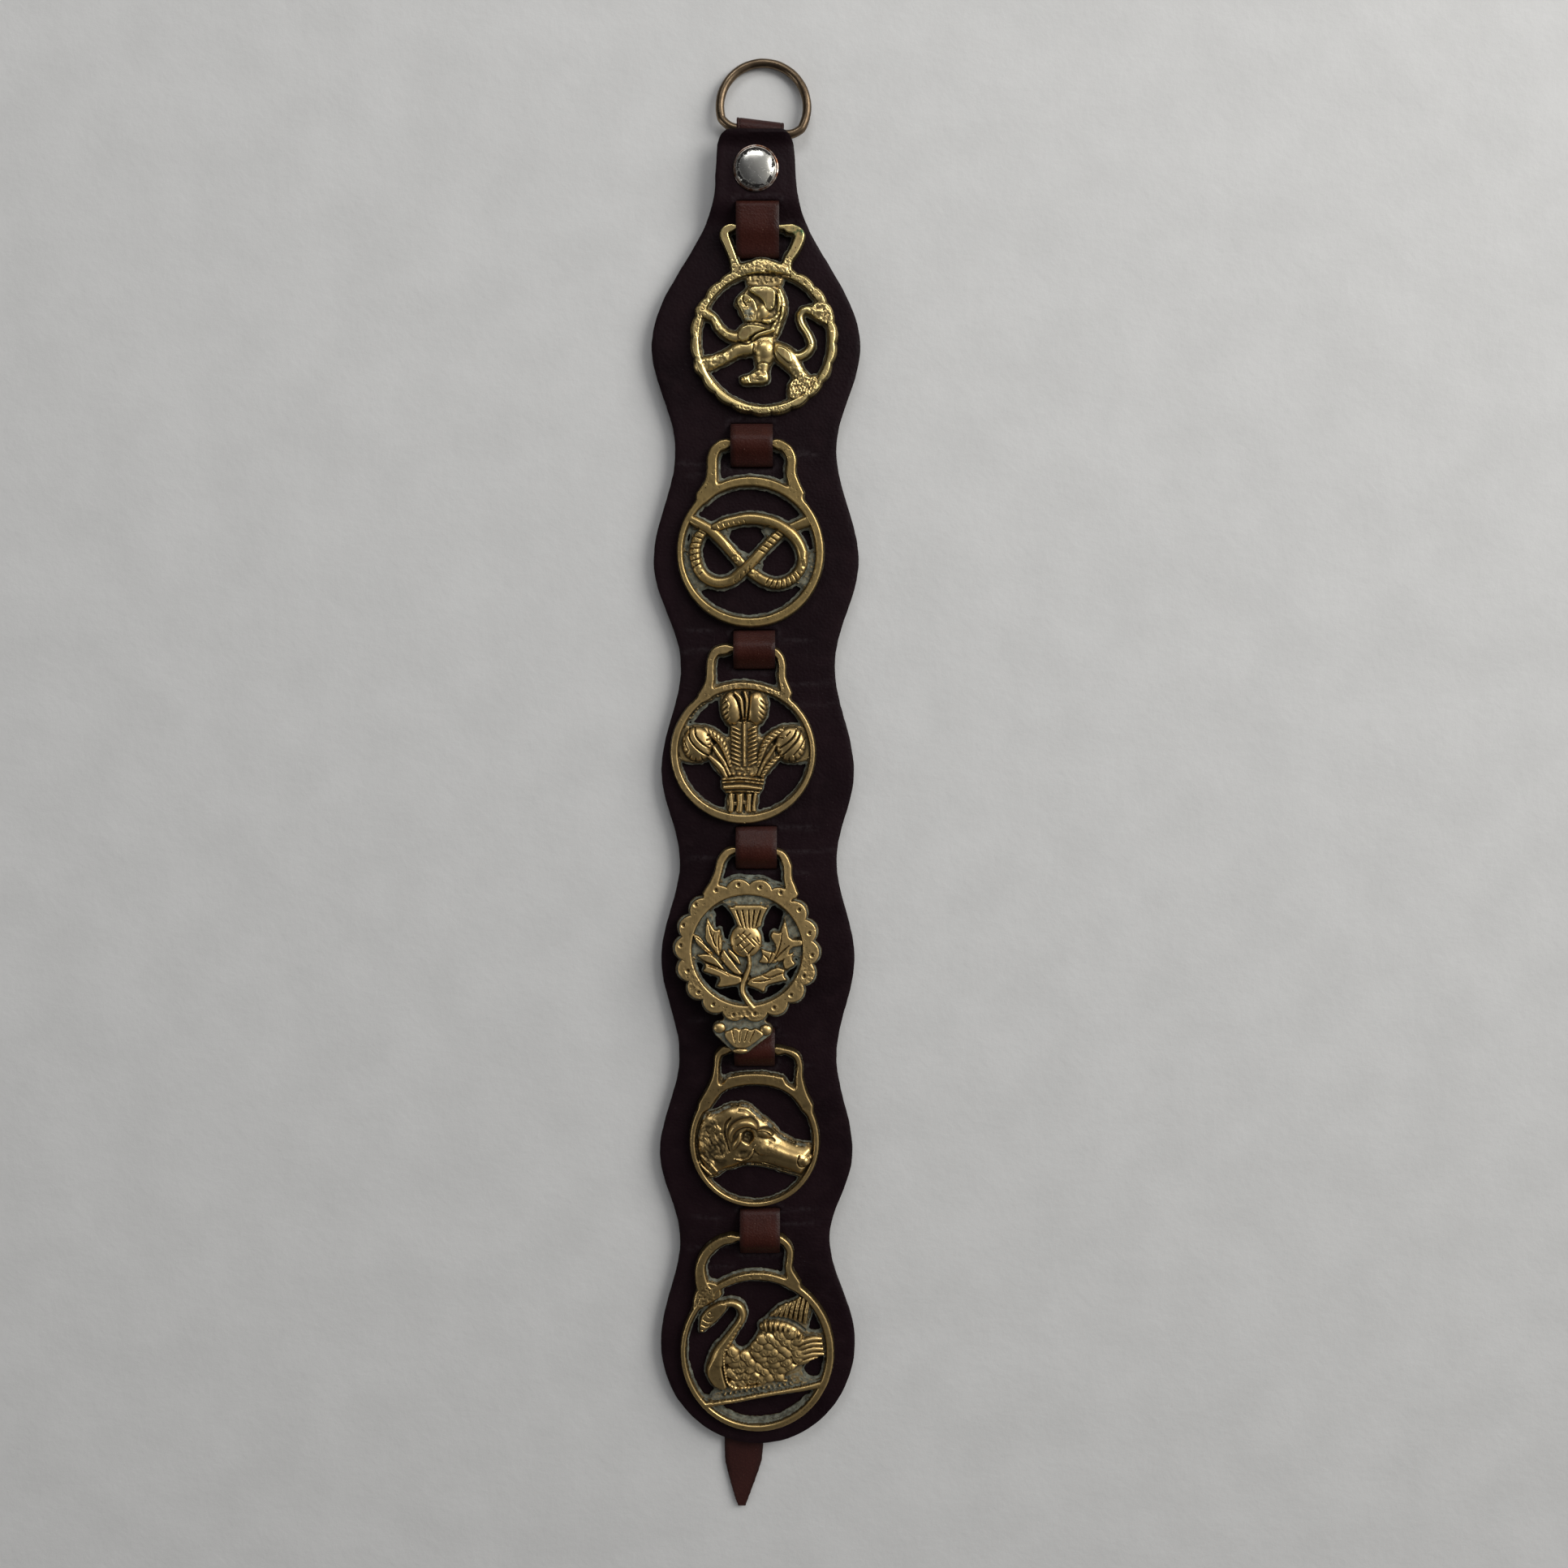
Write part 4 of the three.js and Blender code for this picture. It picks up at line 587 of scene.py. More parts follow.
def knot(mat):
    c = Cast(-28.5, 28.5, -28, 42, 23)
    th = np.arctan2(c.Y, c.X)
    c.frame([c.hoop(-0.05, 0.55, 25.3, 25.3, 1.6, 0.2 * np.cos(th) + 0.45 * np.sin(th) ** 2),
             c.stroke([[-17.5, 20.5], [-14.2, 25.4], [-13.6, 30], [-13.4, 34.4], [-11.8, 37.6], [-8.6, 39.0]], [2.4, 2.5, 2.2, 2.2, 2.1, 1.7]),
             c.stroke([[-10, 38.8], [-6.5, 39.3], [7, 39.3], [10.5, 39.0]], [1.4, 1.3, 1.3, 1.4]),
             c.stroke([[9.4, 39.1], [12.8, 37.6], [14.9, 34], [14.9, 28], [17.6, 21]], [1.6, 2.1, 2.1, 2.2, 2.4])], 3.15, 0.9, k=2.4)
    c.poly([[-24.5, 2.0], [-23.4, -7.5], [-20, -13.6], [-14.6, -11], [-18, -6], [-20.4, -0.6]], 1.5)
    c.poly([[24.5, 1.2], [21.4, 0.6], [19.6, -3], [16, -10], [20.5, -12.4], [23, -7]], 1.5)
    c.poly([[-15, 8.4], [-8.6, 9.6], [-7.4, 8.0], [-10.2, 5.0], [-13.6, 6.4]], 1.5)
    c.poly([[4.6, 9.6], [8.6, 10.2], [9.2, 7], [6.4, 5.6], [5.0, 7.8]], 1.4)
    c.poly([[-6.2, -0.6], [-2.4, 0.4], [0.6, -2.2], [4.6, -3.6], [2.4, -6.6], [-3.4, -7.4], [-5.4, -3.4]], 1.5)
    c.poly([[-21.4, 9.4], [-16.6, 8.6], [-17.6, 4.8], [-20.4, 3.0]], 1.4)
    # under strand first, then the strand that lies over it
    c.bar([[-15.8, 8.6], [-17.7, 7.2], [-19.4, 4.2], [-20, 0.4], [-19.2, -4.6], [-16.2, -8.6], [-11.6, -10.4], [-6.8, -9.4], [-3, -6.4], [1, -2.6], [5, 1.8], [9, 5.8], [12.4, 8.4], [16, 9.8], [22.5, 12.4]],
          [1.8, 2.0, 2.1, 2.15, 2.15, 2.1, 2.1, 2.1, 2.1, 2.05, 2.05, 2.05, 1.8, 1.9, 2.4],
          [2.9, 3.3, 3.5, 3.6, 3.6, 3.6, 3.6, 3.7, 4.3, 4.4, 3.9, 3.4, 2.6, 2.6, 3.0], mark=twist([(1.5, 16.5), (43.5, 55.5)], 2.05, 0.7, 0.2, 11), square=3.4)
    c.bar([[-21.6, 12.4], [-18.6, 10.8], [-14, 8.2], [-9, 3.2], [-4, -2.5], [0, -6.3], [5, -9.6], [10.4, -10.8], [15.4, -8.8], [18.4, -5], [19, -0.6], [17.4, 4],
           [14, 7.8], [8, 11.2], [0, 12.6], [-8, 11.2], [-12.4, 9.4], [-14, 8.7]],
          [1.7, 2.0, 2.0, 2.0, 1.95, 1.95, 2.05, 2.05, 2.05, 2.05, 2.05, 2.05, 2.2, 2.2, 2.2, 2.1, 1.9, 1.7],
          [3.1, 3.9, 4.2, 3.9, 3.1, 2.9, 3.5, 3.7, 3.8, 3.8, 3.8, 4.0, 4.3, 4.2, 3.8, 3.5, 3.2, 2.9], mark=twist([(35.5, 49)], 1.8, 0.7, -0.25, 8), square=3.4)
    # short ticks where the rope lay has worn away
    for k in range(6):
        c.groove([[-11.0 + k * 1.9, 9.2 + 0.55 * k - 0.05 * k * k], [-11.4 + k * 1.9, 10.3 + 0.55 * k - 0.05 * k * k]], 0.3, 0.5, n=3)
    for x, y in ((-5.6, -10.4), (-3.6, -9.0), (-1.9, -7.4), (-0.4, -5.9)):
        c.groove([[x, y], [x + 0.2, y + 1.5]], 0.3, 0.6, n=3)
    c.groove([[-18.6, -7.6], [-17.4, -6.6]], 0.3, 0.6, n=3)
    c.groove([(-8.4, 3.8), (-3.8, -2.2)], 0.3, 0.12)
    c.lumps(np.maximum(c.zone(-21.5, -2, 2.2, 7), c.zone(-5.5, -1.5, 2.6, 2.6)), 0.9, 0.26, 2)
    c.lumps(np.maximum(c.zone(2, -6.4, 3, 2.4), c.zone(21, -4.4, 3, 7)), 0.9, 0.24, 3)
    r = np.hypot(c.X, c.Y)
    c.pits((r > 22).astype(float), 90, 0.26, 0.22, 1)
    c.pits((r < 22).astype(float), 50, 0.26, 0.22, 2)
    c.grime = np.maximum(c.grime, 0.55 * np.maximum(c.zone(-21.8, -3, 1.7, 8), c.zone(21.6, -3, 2.0, 8)) * (c.H < 3))
    return c.finish("knot", mat, reach=0.75)


def feathers(mat):
    c = Cast(-28.5, 28.5, -28, 40.5, 37)
    th = np.arctan2(c.Y, c.X)
    c.frame([c.hoop(-0.2, -0.3, 25.4, 24.6, 1.5, -0.18 * np.cos(th) + 0.15 * np.exp(-((th - 1.57) / 0.5) ** 2) + 0.5 * np.exp(-((th + 1.57) / 0.6) ** 2)),
             c.stroke([[-14.6, 20.5], [-12.5, 25.6], [-12.2, 30], [-11.8, 34], [-10.0, 36.8], [-6.4, 37.6]], [2.2, 1.9, 1.7, 1.7, 1.9, 1.7]),
             c.stroke([[-8, 37.4], [-4, 37.8], [9, 37], [11.6, 36.4]], [1.4, 1.3, 1.3, 1.2]),
             c.stroke([[11.0, 36.7], [12.9, 35.0], [13.9, 32], [14.0, 27], [15.8, 21]], [1.1, 1.6, 1.6, 1.7, 2.2])], 3.05, 0.8, k=2.0)
    c.poly([[-6.6, 23.8], [-8.6, 20], [-7.4, 12], [7.4, 12], [8.6, 20], [6.6, 23.8]], 1.9)

    def curl(sgn):
        def mark(x, y, d):
            out_ = step((x * sgn - 0.6) / 1.6)
            ticks = (0.5 + 0.5 * np.cos(2 * np.pi * (y / 2.05 + 0.35 * x * sgn))) ** 5
            return -0.85 * ticks * out_ * step((y + 5.2) / 1.0) * step((4.8 - y) / 1.0) - 0.5 * step((1.0 - d) / 0.6) * out_
        return mark
    c.egg(-4.4, 15.9, 4.2, 6.3, 4.8, 4, mark=curl(-1), k=0.15, p=0.34)
    c.egg(4.5, 15.9, 4.1, 6.3, 4.8, -4, mark=curl(1), k=0.15, p=0.34)
    # quills of the middle plume between its two curls
    c.bar([[-3.4, 22], [-1.2, 19.6], [-0.5, 15.6], [0.0, 10.8]], [0.75, 0.9, 0.75, 0.5], 4.75, sil=False, k=0.1)
    c.bar([[0.3, 22.2], [1.1, 19.0], [1.0, 15.2], [0.5, 11]], [0.6, 0.7, 0.6, 0.45], 4.75, sil=False, k=0.1)
    for pts in ([[-3.7, 21.0], [-2.2, 18.4], [-1.4, 15.2], [-0.8, 11.4]], [[-0.9, 22], [0.3, 19.2], [0.3, 16], [0.3, 12.4]], [[2.1, 22], [2.0, 18.4], [1.7, 15.2], [1.1, 11.6]]):
        c.groove(pts, 0.45, 1.3)
    c.groove([[-6.2, 19.8], [-5.0, 17.6], [-5.4, 15.4]], 0.5, 0.5)
    # middle shaft and its chevron ribs
    c.poly([[-5.4, 11.4], [-4.8, 0], [-6, -9.8], [5.6, -9.8], [4.8, 0], [5.2, 11.4]], 2.6, 0.6)
    c.bar([[0.1, 10.4], [0.1, 1], [0.1, -4.6]], [0.8, 0.75, 0.65], 3.9, sil=False, k=0.08)
    for s in (-1, 1):
        for k in range(9):
            y = 8.9 - k * 1.62
            c.bar([[s * 1.5 + 0.1, y - 1.0], [s * 3.1, y - 0.1], [s * 4.6, y + 0.5]], [0.45, 0.66, 0.5], [3.2, 3.75, 3.3], sil=False, k=0.08)
    # spreading side plumes
    c.poly([[-8.6, -9.6], [-12.6, -3.4], [-11.6, 3], [-6, 6], [6, 6], [11.6, 3], [12.2, -3], [7.4, -9.6]], 2.1, 0.7)
    for s in (-1, 1):
        c.poly([[s * 24.8, 9.6], [s * 13.4, 9.8], [s * 11.2, 0], [s * 14.8, -4.2], [s * 24.6, -4]], 1.8, 0.7)

        def rib(u, v, d):
            return -0.7 * (0.5 + 0.5 * np.cos(2 * np.pi * (u / 1.7 + v * 0.5))) ** 5 * step(d / 0.3) * step((0.4 - v * s) / 0.4)
        c.bar([[s * 14.6, 8.4], [s * 11.2, 6.4], [s * 8.2, 3.6], [s * 6.4, -0.6], [s * 5.0, -5.4]], [1.3, 1.8, 1.8, 1.4, 0.9], [3.2, 3.7, 3.8, 3.7, 3.3], mark=rib, k=0.1)
        c.bar([[s * 12.0, 3.2], [s * 9.8, -0.2], [s * 7.4, -3.8], [s * 5.2, -8.6]], [0.75, 0.95, 0.95, 0.7], [3.2, 3.6, 3.6, 3.2], k=0.1)
        c.bar([[s * 12.8, -1.6], [s * 10.4, -3.8], [s * 8.2, -6.2], [s * 6.6, -9.2]], [1.0, 1.4, 1.4, 1.0], [3.0, 3.3, 3.3, 3.0], k=0.1, mark=(rib if s > 0 else None))

        def head(x, y, d, s=s):
            a = np.arctan2(y, x)
            lowr = np.clip(-np.sin(a) + 0.1, 0, 1)
            n = (0.5 + 0.5 * np.cos(a * 15)) ** 5
            return -0.8 * n * step((2.2 - d) / 1.2) * np.clip(lowr * 1.6, 0, 1) - 0.35 * step((0.9 - d) / 0.6)
        c.egg(s * 17.1, 2.8, 5.7, 6.7, 4.9, 0, mark=head, k=0.12, p=0.3)
    for pts in ([[-19.9, 8.8], [-19.9, 5.4], [-18.0, 2.4], [-15.2, 0.0], [-12.9, -1.4]], [[-18.0, 9.0], [-17.6, 6.2], [-15.6, 3.6], [-12.6, 1.4]], [[20.9, 7.8], [19.6, 4.6], [16.8, 1.4], [14.0, -1.2]], [[19.2, 8.4], [18.2, 5.8], [15.8, 3.4], [12.9, 1.4]]):
        c.groove(pts, [0.3] + [0.5] * (len(pts) - 2) + [0.3], 1.1)
    for pts in ([[-12.4, 4.8], [-13.8, 4.4]], [[-12.2, 2.9], [-13.4, 2.6]], [[-12.3, 6.4], [-13.6, 6.2]], [[-21.8, 6.6], [-21.6, 3.4], [-20.4, 0.6]], [[12.6, 5.4], [14.6, 5.2]], [[22.4, 5.0], [20.6, 1.8], [18.0, -1.2]], [[17.0, 7.6], [15.4, 5.8]]):
        c.groove(pts, 0.34, 0.8)
    # collar and stem
    c.poly([[-8.7, -9.2], [-7.2, -15.4], [5.9, -15.4], [7.6, -9.2]], 2.4, 0.6)
    c.bar([[-8.0, -10.0], [-0.5, -9.6], [7.2, -10.4]], 0.55, 3.6, k=0.06)
    c.bar([[-8.0, -11.2], [-0.5, -10.8], [7.0, -11.7]], 0.5, 3.6, k=0.06)
    c.bar([[-7.6, -13.0], [-0.8, -12.7], [6.4, -13.5]], [1.0, 1.1, 0.75], 4.1, k=0.06)
    c.bar([[-6.8, -14.8], [-0.8, -14.5], [5.6, -15.0]], 0.5, 3.4, k=0.06)
    c.poly([[-6.8, -14.9], [-6.0, -24.6], [3.6, -24.6], [5.6, -14.9]], 2.3, 0.6)
    for pts, w in (([[-5.0, -15.6], [-4.7, -19], [-4.9, -21.8]], 1.1), ([[-1.5, -15.6], [-1.5, -19], [-1.9, -21.8]], 1.3), ([[2.0, -15.6], [1.8, -19], [1.6, -21.8]], 1.1), ([[4.2, -15.4], [3.6, -19], [3.6, -21.8]], 0.8)):
        c.bar(pts, [w, w, w * 1.2], 3.4, sil=False, k=0.12)
    for pts in ([[-3.3, -15.8], [-3.2, -18.4]], [[0.3, -15.4], [0.4, -18.0]], [[-3.2, -20.0], [-3.8, -22.2]], [[-0.2, -19.6], [-0.1, -22.6]], [[3.0, -16], [2.8, -19.4]]):
        c.groove(pts, 0.5, 1.5)
    c.egg(-1.9, -8.0, 1.1, 0.9, 3.9, sil=False)
    for x, y in ((-2.8, -6.2), (1.4, -6.4), (0, -8.4), (2.4, -8.2), (-3.9, -8.0), (0.2, -5.0)):
        c.egg(x, y, 0.9, 0.7, 3.6, sil=False, k=0.08)
    # crumbs of deposit on the rim's inner edge
    rs = np.random.RandomState(8)
    for k in range(11):
        a = math.radians(146 - k * 3.6)
        q = 23.2 - rs.uniform(0, 0.5)
        c.egg(-0.2 + q * math.cos(a), q * math.sin(a), 0.5 + rs.uniform(0, 0.5), 0.45 + rs.uniform(0, 0.4), 1.5, k=0.2)
    c.lumps(c.zone(0, -1, 12, 10), 0.8, 0.12, 2)
    c.lumps(c.zone(0, 24.4, 12, 2.6), 1.0, 0.12, 4)
    c.pits((np.hypot(c.X, c.Y) > 22).astype(float), 80, 0.26, 0.24, 1)
    c.pits(c.zone(12, 23, 4, 4), 26, 0.38, 0.32, 2)
    c.grime = np.maximum(c.grime, 0.6 * c.zone(-1.5, -23.5, 5, 2.4) * (c.H < 2.9))
    c.dull = np.maximum(c.dull, 0.35 * c.zone(0, -2, 12, 9))
    return c.finish("feathers", mat, reach=0.7, web=1.75)


def thistle(mat):
    c = Cast(-29.5, 29.5, -40.5, 39.6, 41, g=0.27)
    th, r = np.arctan2(c.Y + 0.4, c.X), np.hypot(c.X, c.Y + 0.4)
    ph = math.radians(98)
    lobe = np.abs(np.cos(9 * (th - ph))) ** 0.7
    out = 24.7 + 2.4 * lobe
    c.flat(np.minimum(out + 0.65 - r, r - 20.3), 1.35, 0.4)
    c.frame([np.minimum(out - r, r - 20.3),
             c.stroke([[-14.5, 20], [-12, 25], [-10.6, 29], [-9.7, 32.6], [-7.6, 35.6], [-5.0, 36.8]], [2.4, 1.9, 1.6, 1.7, 1.7, 1.3]),
             c.stroke([[-6.4, 36.6], [-3, 36.9], [8, 36.7], [10.6, 36.3]], [1.2, 1.1, 1.1, 1.2]),
             c.stroke([[9.6, 36.6], [12.8, 35.2], [14.9, 31], [15.2, 26], [17.0, 20]], [1.1, 1.6, 1.8, 1.8, 2.4])], 3.1, 0.7, k=1.2)
    c.flat(np.minimum(27.2 - r, r - 22) - 40 * (c.Y < 14) - 40 * (np.abs(c.X - 1) > 12), 1.35, 0.5)
    c.poly([[-9.8, 21.2], [-8.4, 15.4], [9.2, 15.4], [10.6, 21.2]], 1.6, 0.4)
    # flower, bulb and stalk
    c.poly([[-7.6, 16.6], [-4.9, 12], [-3.1, 7.6], [5.0, 7.6], [5.9, 12], [8.4, 16.6]], 3.5, 0.5, soft=1)
    c.egg(-0.4, 3.3, 5.9, 6.4, 4.1, 0, p=0.22)
    c.bar([[0.5, -2], [0.8, -6], [-0.6, -10.4], [-1.6, -13], [-1.6, -16], [0, -19], [2.2, -22]], [0.9, 1.0, 1.3, 1.2, 1.1, 1.2, 1.5], 3.5)
    # webs behind the leaves
    c.poly([[-20.6, 8.6], [-20.8, 3], [-14, 1], [-12, 12.4], [-14.6, 16]], 1.4, 0.4)
    c.poly([[-20.8, 2], [-20.4, -3.6], [-15, -5], [-10, 3], [-13, 8]], 1.5, 0.4)
    c.poly([[-9.8, 4], [-10.4, -3], [-8, -8.6], [-0.6, -9.8], [0.4, -2], [-5.2, 0.8]], 1.5, 0.4)
    c.poly([[1, -1.0], [0.6, -11.4], [5, -10], [13, -5.4], [12.8, 1.4], [6.4, 1.8]], 1.5, 0.4)
    c.poly([[13.6, 13.4], [16.6, 13.6], [20.8, 7.4], [20.8, 4.6], [14.4, 3]], 1.4, 0.4)
    c.poly([[13.0, -3], [17.6, -2.6], [20.4, -3.6], [20.2, 3.4], [14, 2.8]], 1.4, 0.4)
    # left leaf: five jagged fingers
    L = 0.62
    c.poly([[-14.8, 12.6], [-15.6, 8.6], [-15.8, 3.4], [-12.4, -0.4], [-10.4, -3.4], [-8.8, 1.0], [-9.6, 6.2], [-9.9, 8.0], [-11.8, 7.2], [-12.9, 9.0]], 3.3, L, soft=1)
    c.poly([[-20.6, 6.1], [-17.4, 5.2], [-14.9, 1.4], [-12.0, -1.6], [-13.0, -3.4], [-16.8, 0.0], [-18.8, 1.6]], 3.15, L, soft=1)
    c.poly([[-19.4, -2.0], [-15.6, -1.3], [-12.0, -2.3], [-8.0, -7.2], [-6.4, -9.6], [-11.9, -6.1], [-15.9, -4.7]], 3.15, L, soft=1)
    c.poly([[-16.8, -8.2], [-15.4, -6.2], [-17.0, -4.4], [-12.6, -5.6], [-7.0, -8.4], [-1.6, -10.0], [-2.0, -13.1], [-11.9, -14.6], [-9.8, -10.6], [-13.4, -9.4]], 3.2, L, soft=1)
    c.poly([[-8.8, 0.8], [-6.8, -2.2], [-3.7, -6.0], [-0.9, -9.4], [-3.7, -10.1], [-7.6, -6.8], [-10.4, -3.0]], 3.2, L, soft=1)
    c.poly([[-7.4, 0.8], [-5.6, -0.3], [-3.1, -3.0], [-1.7, -6.6], [-4.5, -4.7], [-7.1, -1.8]], 2.95, 0.5, soft=1)
    # right leaf
    c.poly([[14.0, 12.2], [12.7, 8.4], [12.2, 6.2], [9.0, 6.8], [8.5, 4.4], [10.7, 1.0], [9.6, -2], [11, -5.2], [15.2, -3.4], [16.2, 0.4], [20.8, 1.1], [20.8, 3.8], [15.9, 4.1], [15.2, 7.4]], 3.3, L, soft=1)
    c.poly([[4.6, 0.8], [7.4, -0.4], [10.8, -1.0], [11.6, -5.4], [7, -5.6], [3.8, -5.0], [5.6, -2.4]], 3.15, L, soft=1)
    c.poly([[14.4, -1.8], [17.8, -0.8], [16.6, -3.3], [18.4, -5.8], [14.0, -8.2], [12.8, -4.4]], 3.05, L, soft=1)
    c.poly([[0.4, -10.7], [-0.4, -13.4], [3.6, -14.8], [6.4, -16.4], [7.2, -13.6], [10.6, -12.6], [15.4, -11.6], [13.6, -9.6], [14.4, -7.4], [10.6, -6.2], [5.6, -9.2]], 3.2, L, soft=1)
    # pendant shell, low behind and raised in front
    c.poly([[-8.4, -22.6], [-8.6, -26.4], [-12.6, -27.4], [-12.8, -31.4], [-8.6, -35.4], [-5.4, -38.4], [-2.4, -39.4], [0.4, -38.8], [5.2, -34.8], [9.4, -31.8], [9.3, -28.6], [6.6, -26.8], [6.4, -22.6]], 1.45, 0.4, soft=1)
    c.egg(-10.3, -29.3, 2.4, 2.1, 3.2, 0, p=0.3, k=0.12)
    c.egg(6.9, -30.1, 2.4, 2.1, 3.2, 0, p=0.3, k=0.12)
    c.poly([[-8.6, -30.6], [-8.4, -33.0], [-6.2, -35.7], [-4.2, -37.2], [-0.2, -37.2], [3.8, -34.4], [6.4, -32.2], [5.8, -30.6], [3.2, -29.0], [1.2, -29.9], [-0.6, -28.8], [-2.6, -29.8], [-4.6, -28.8], [-6.4, -29.9]], 3.2, 0.6, soft=1)
    c.egg(-2.6, -37.9, 2.9, 1.1, 2.9, 0, p=0.3, k=0.1)
    for x0, x1 in ((-5.4, -4.6), (-2.6, -2.8), (0.2, -1.0), (2.8, 0.8)):
        c.groove([[x0, -30.2], [x1, -34.4]], [0.4, 0.2], 0.6, n=4)
    # engraving
    for x0, x1 in ((-3.9, -1.6), (-1.7, -0.4), (0.6, 0.8), (2.7, 1.9), (5.0, 3.0)):
        c.groove([[x0, 14.6], [(x0 + x1) / 2, 11.4], [x1, 8.0]], [0.42, 0.45, 0.2], 1.1)
    for a, b in (((-4.6, 3.6), (-0.8, 6.9)), ((-3.9, 1.4), (1.2, 6.0)), ((-2.6, -0.6), (1.2, 2.4)), ((0.2, -1.8), (2.6, 0.8))):
        c.groove([a, b], 0.3, 0.55, n=4)
    for a, b in (((-3.2, 5.8), (-0.4, 2.8)), ((-1.6, 6.4), (3.0, 1.4)), ((2.0, 4.4), (5.0, 1.2)), ((-2.4, 2.2), (0.8, -1.6)), ((2.2, 0.8), (0.2, -1.8)), ((3.6, 4.6), (4.4, 2.6))):
        c.groove([a, b], 0.3, 0.55, n=4)
    veins = [[[-14.4, 9.6], [-13.2, 5.4], [-11.4, 1.0]], [[-10.4, 6.4], [-10.6, 2.6], [-10.2, -1.0], [-8.6, -4.4]], [[-18.6, 4.4], [-15.6, 2.0], [-13.2, -0.6]], [[-12.2, 6.2], [-12.4, 3.4], [-11.6, 1.2]],
             [[-16.8, 0.8], [-13.6, -1.4], [-10.6, -3.8], [-7.6, -6.6]], [[-14.6, -6.2], [-10.8, -7.4], [-6.6, -9.6]], [[-9.9, -3.8], [-7.4, -7.2], [-4.6, -9.4]], [[-11.4, -6.6], [-8.0, -8.4]],
             [[-6.6, -1.6], [-4.6, -5.2], [-2.2, -8.6]], [[12.9, 6.0], [12.4, 2.2], [10.6, -2.6], [7.6, -6.8]], [[15.6, 1.4], [12.8, -1.0], [10.2, -3.8]], [[9.8, 3.4], [9.4, -0.4], [8.2, -4.4]],
             [[4.6, -9.0], [8.0, -10.4], [11.2, -9.4], [13.2, -8.8]], [[2.0, -11.8], [5.6, -11.8], [8.8, -11.0]], [[12.8, -5.2], [11.2, -6.4], [8.2, -7.6]], [[5.6, -1.6], [7.8, -3.6], [7.4, -6.2]]]
    for v in veins:
        c.groove(v, [0.2] + [0.4] * (len(v) - 2) + [0.25], 0.75)
    # punched dots, one to a lobe
    dots = [(4.8, 23), (-3.2, 24.0), (12.5, 21), (19.3, 14.7), (23.1, 6), (24.1, -2.2), (21.1, -10), (16.3, -17), (10, -21.7), (2.8, -23.8), (-5, -24.4), (-12.5, -20.5), (-18, -16), (-22, -8), (-24.6, 1.5), (-23.6, 9), (-19, 16.6), (-11.5, 22)]
    c.dots(dots, 0.9, 0.55, 0.05)
    c.dots([(x + 0.1, y - 0.05) for x, y in dots], 0.35, 0.4)
    c.lumps(c.zone(-21, -11, 6, 6), 1.3, 0.12, 2)
    c.lumps(c.zone(-1, -24.6, 8, 2.4), 1.0, 0.2, 3)
    c.lumps(c.zone(21, -9, 5, 8), 1.2, 0.1, 4)
    c.lumps(c.zone(1, 18.2, 10, 2), 0.9, 0.2, 7)
    band = (r > 20).astype(float)
    c.pits(band, 130, 0.26, 0.22, 1)
    c.pits(c.zone(22, -8, 6, 9), 60, 0.28, 0.26, 2)
    c.pits(c.zone(-20, -14, 6, 7), 40, 0.28, 0.24, 3)
    c.grime = np.maximum(c.grime, 0.9 * c.zone(0.4, 18.4, 9.6, 1.9))
    c.grime = np.maximum(c.grime, 0.75 * np.maximum(c.zone(-0.6, -27.6, 8, 1.5), c.zone(1, 27.0, 10, 2.0)) * (c.H < 2.4))
    return c.finish("thistle", mat, reach=0.7)


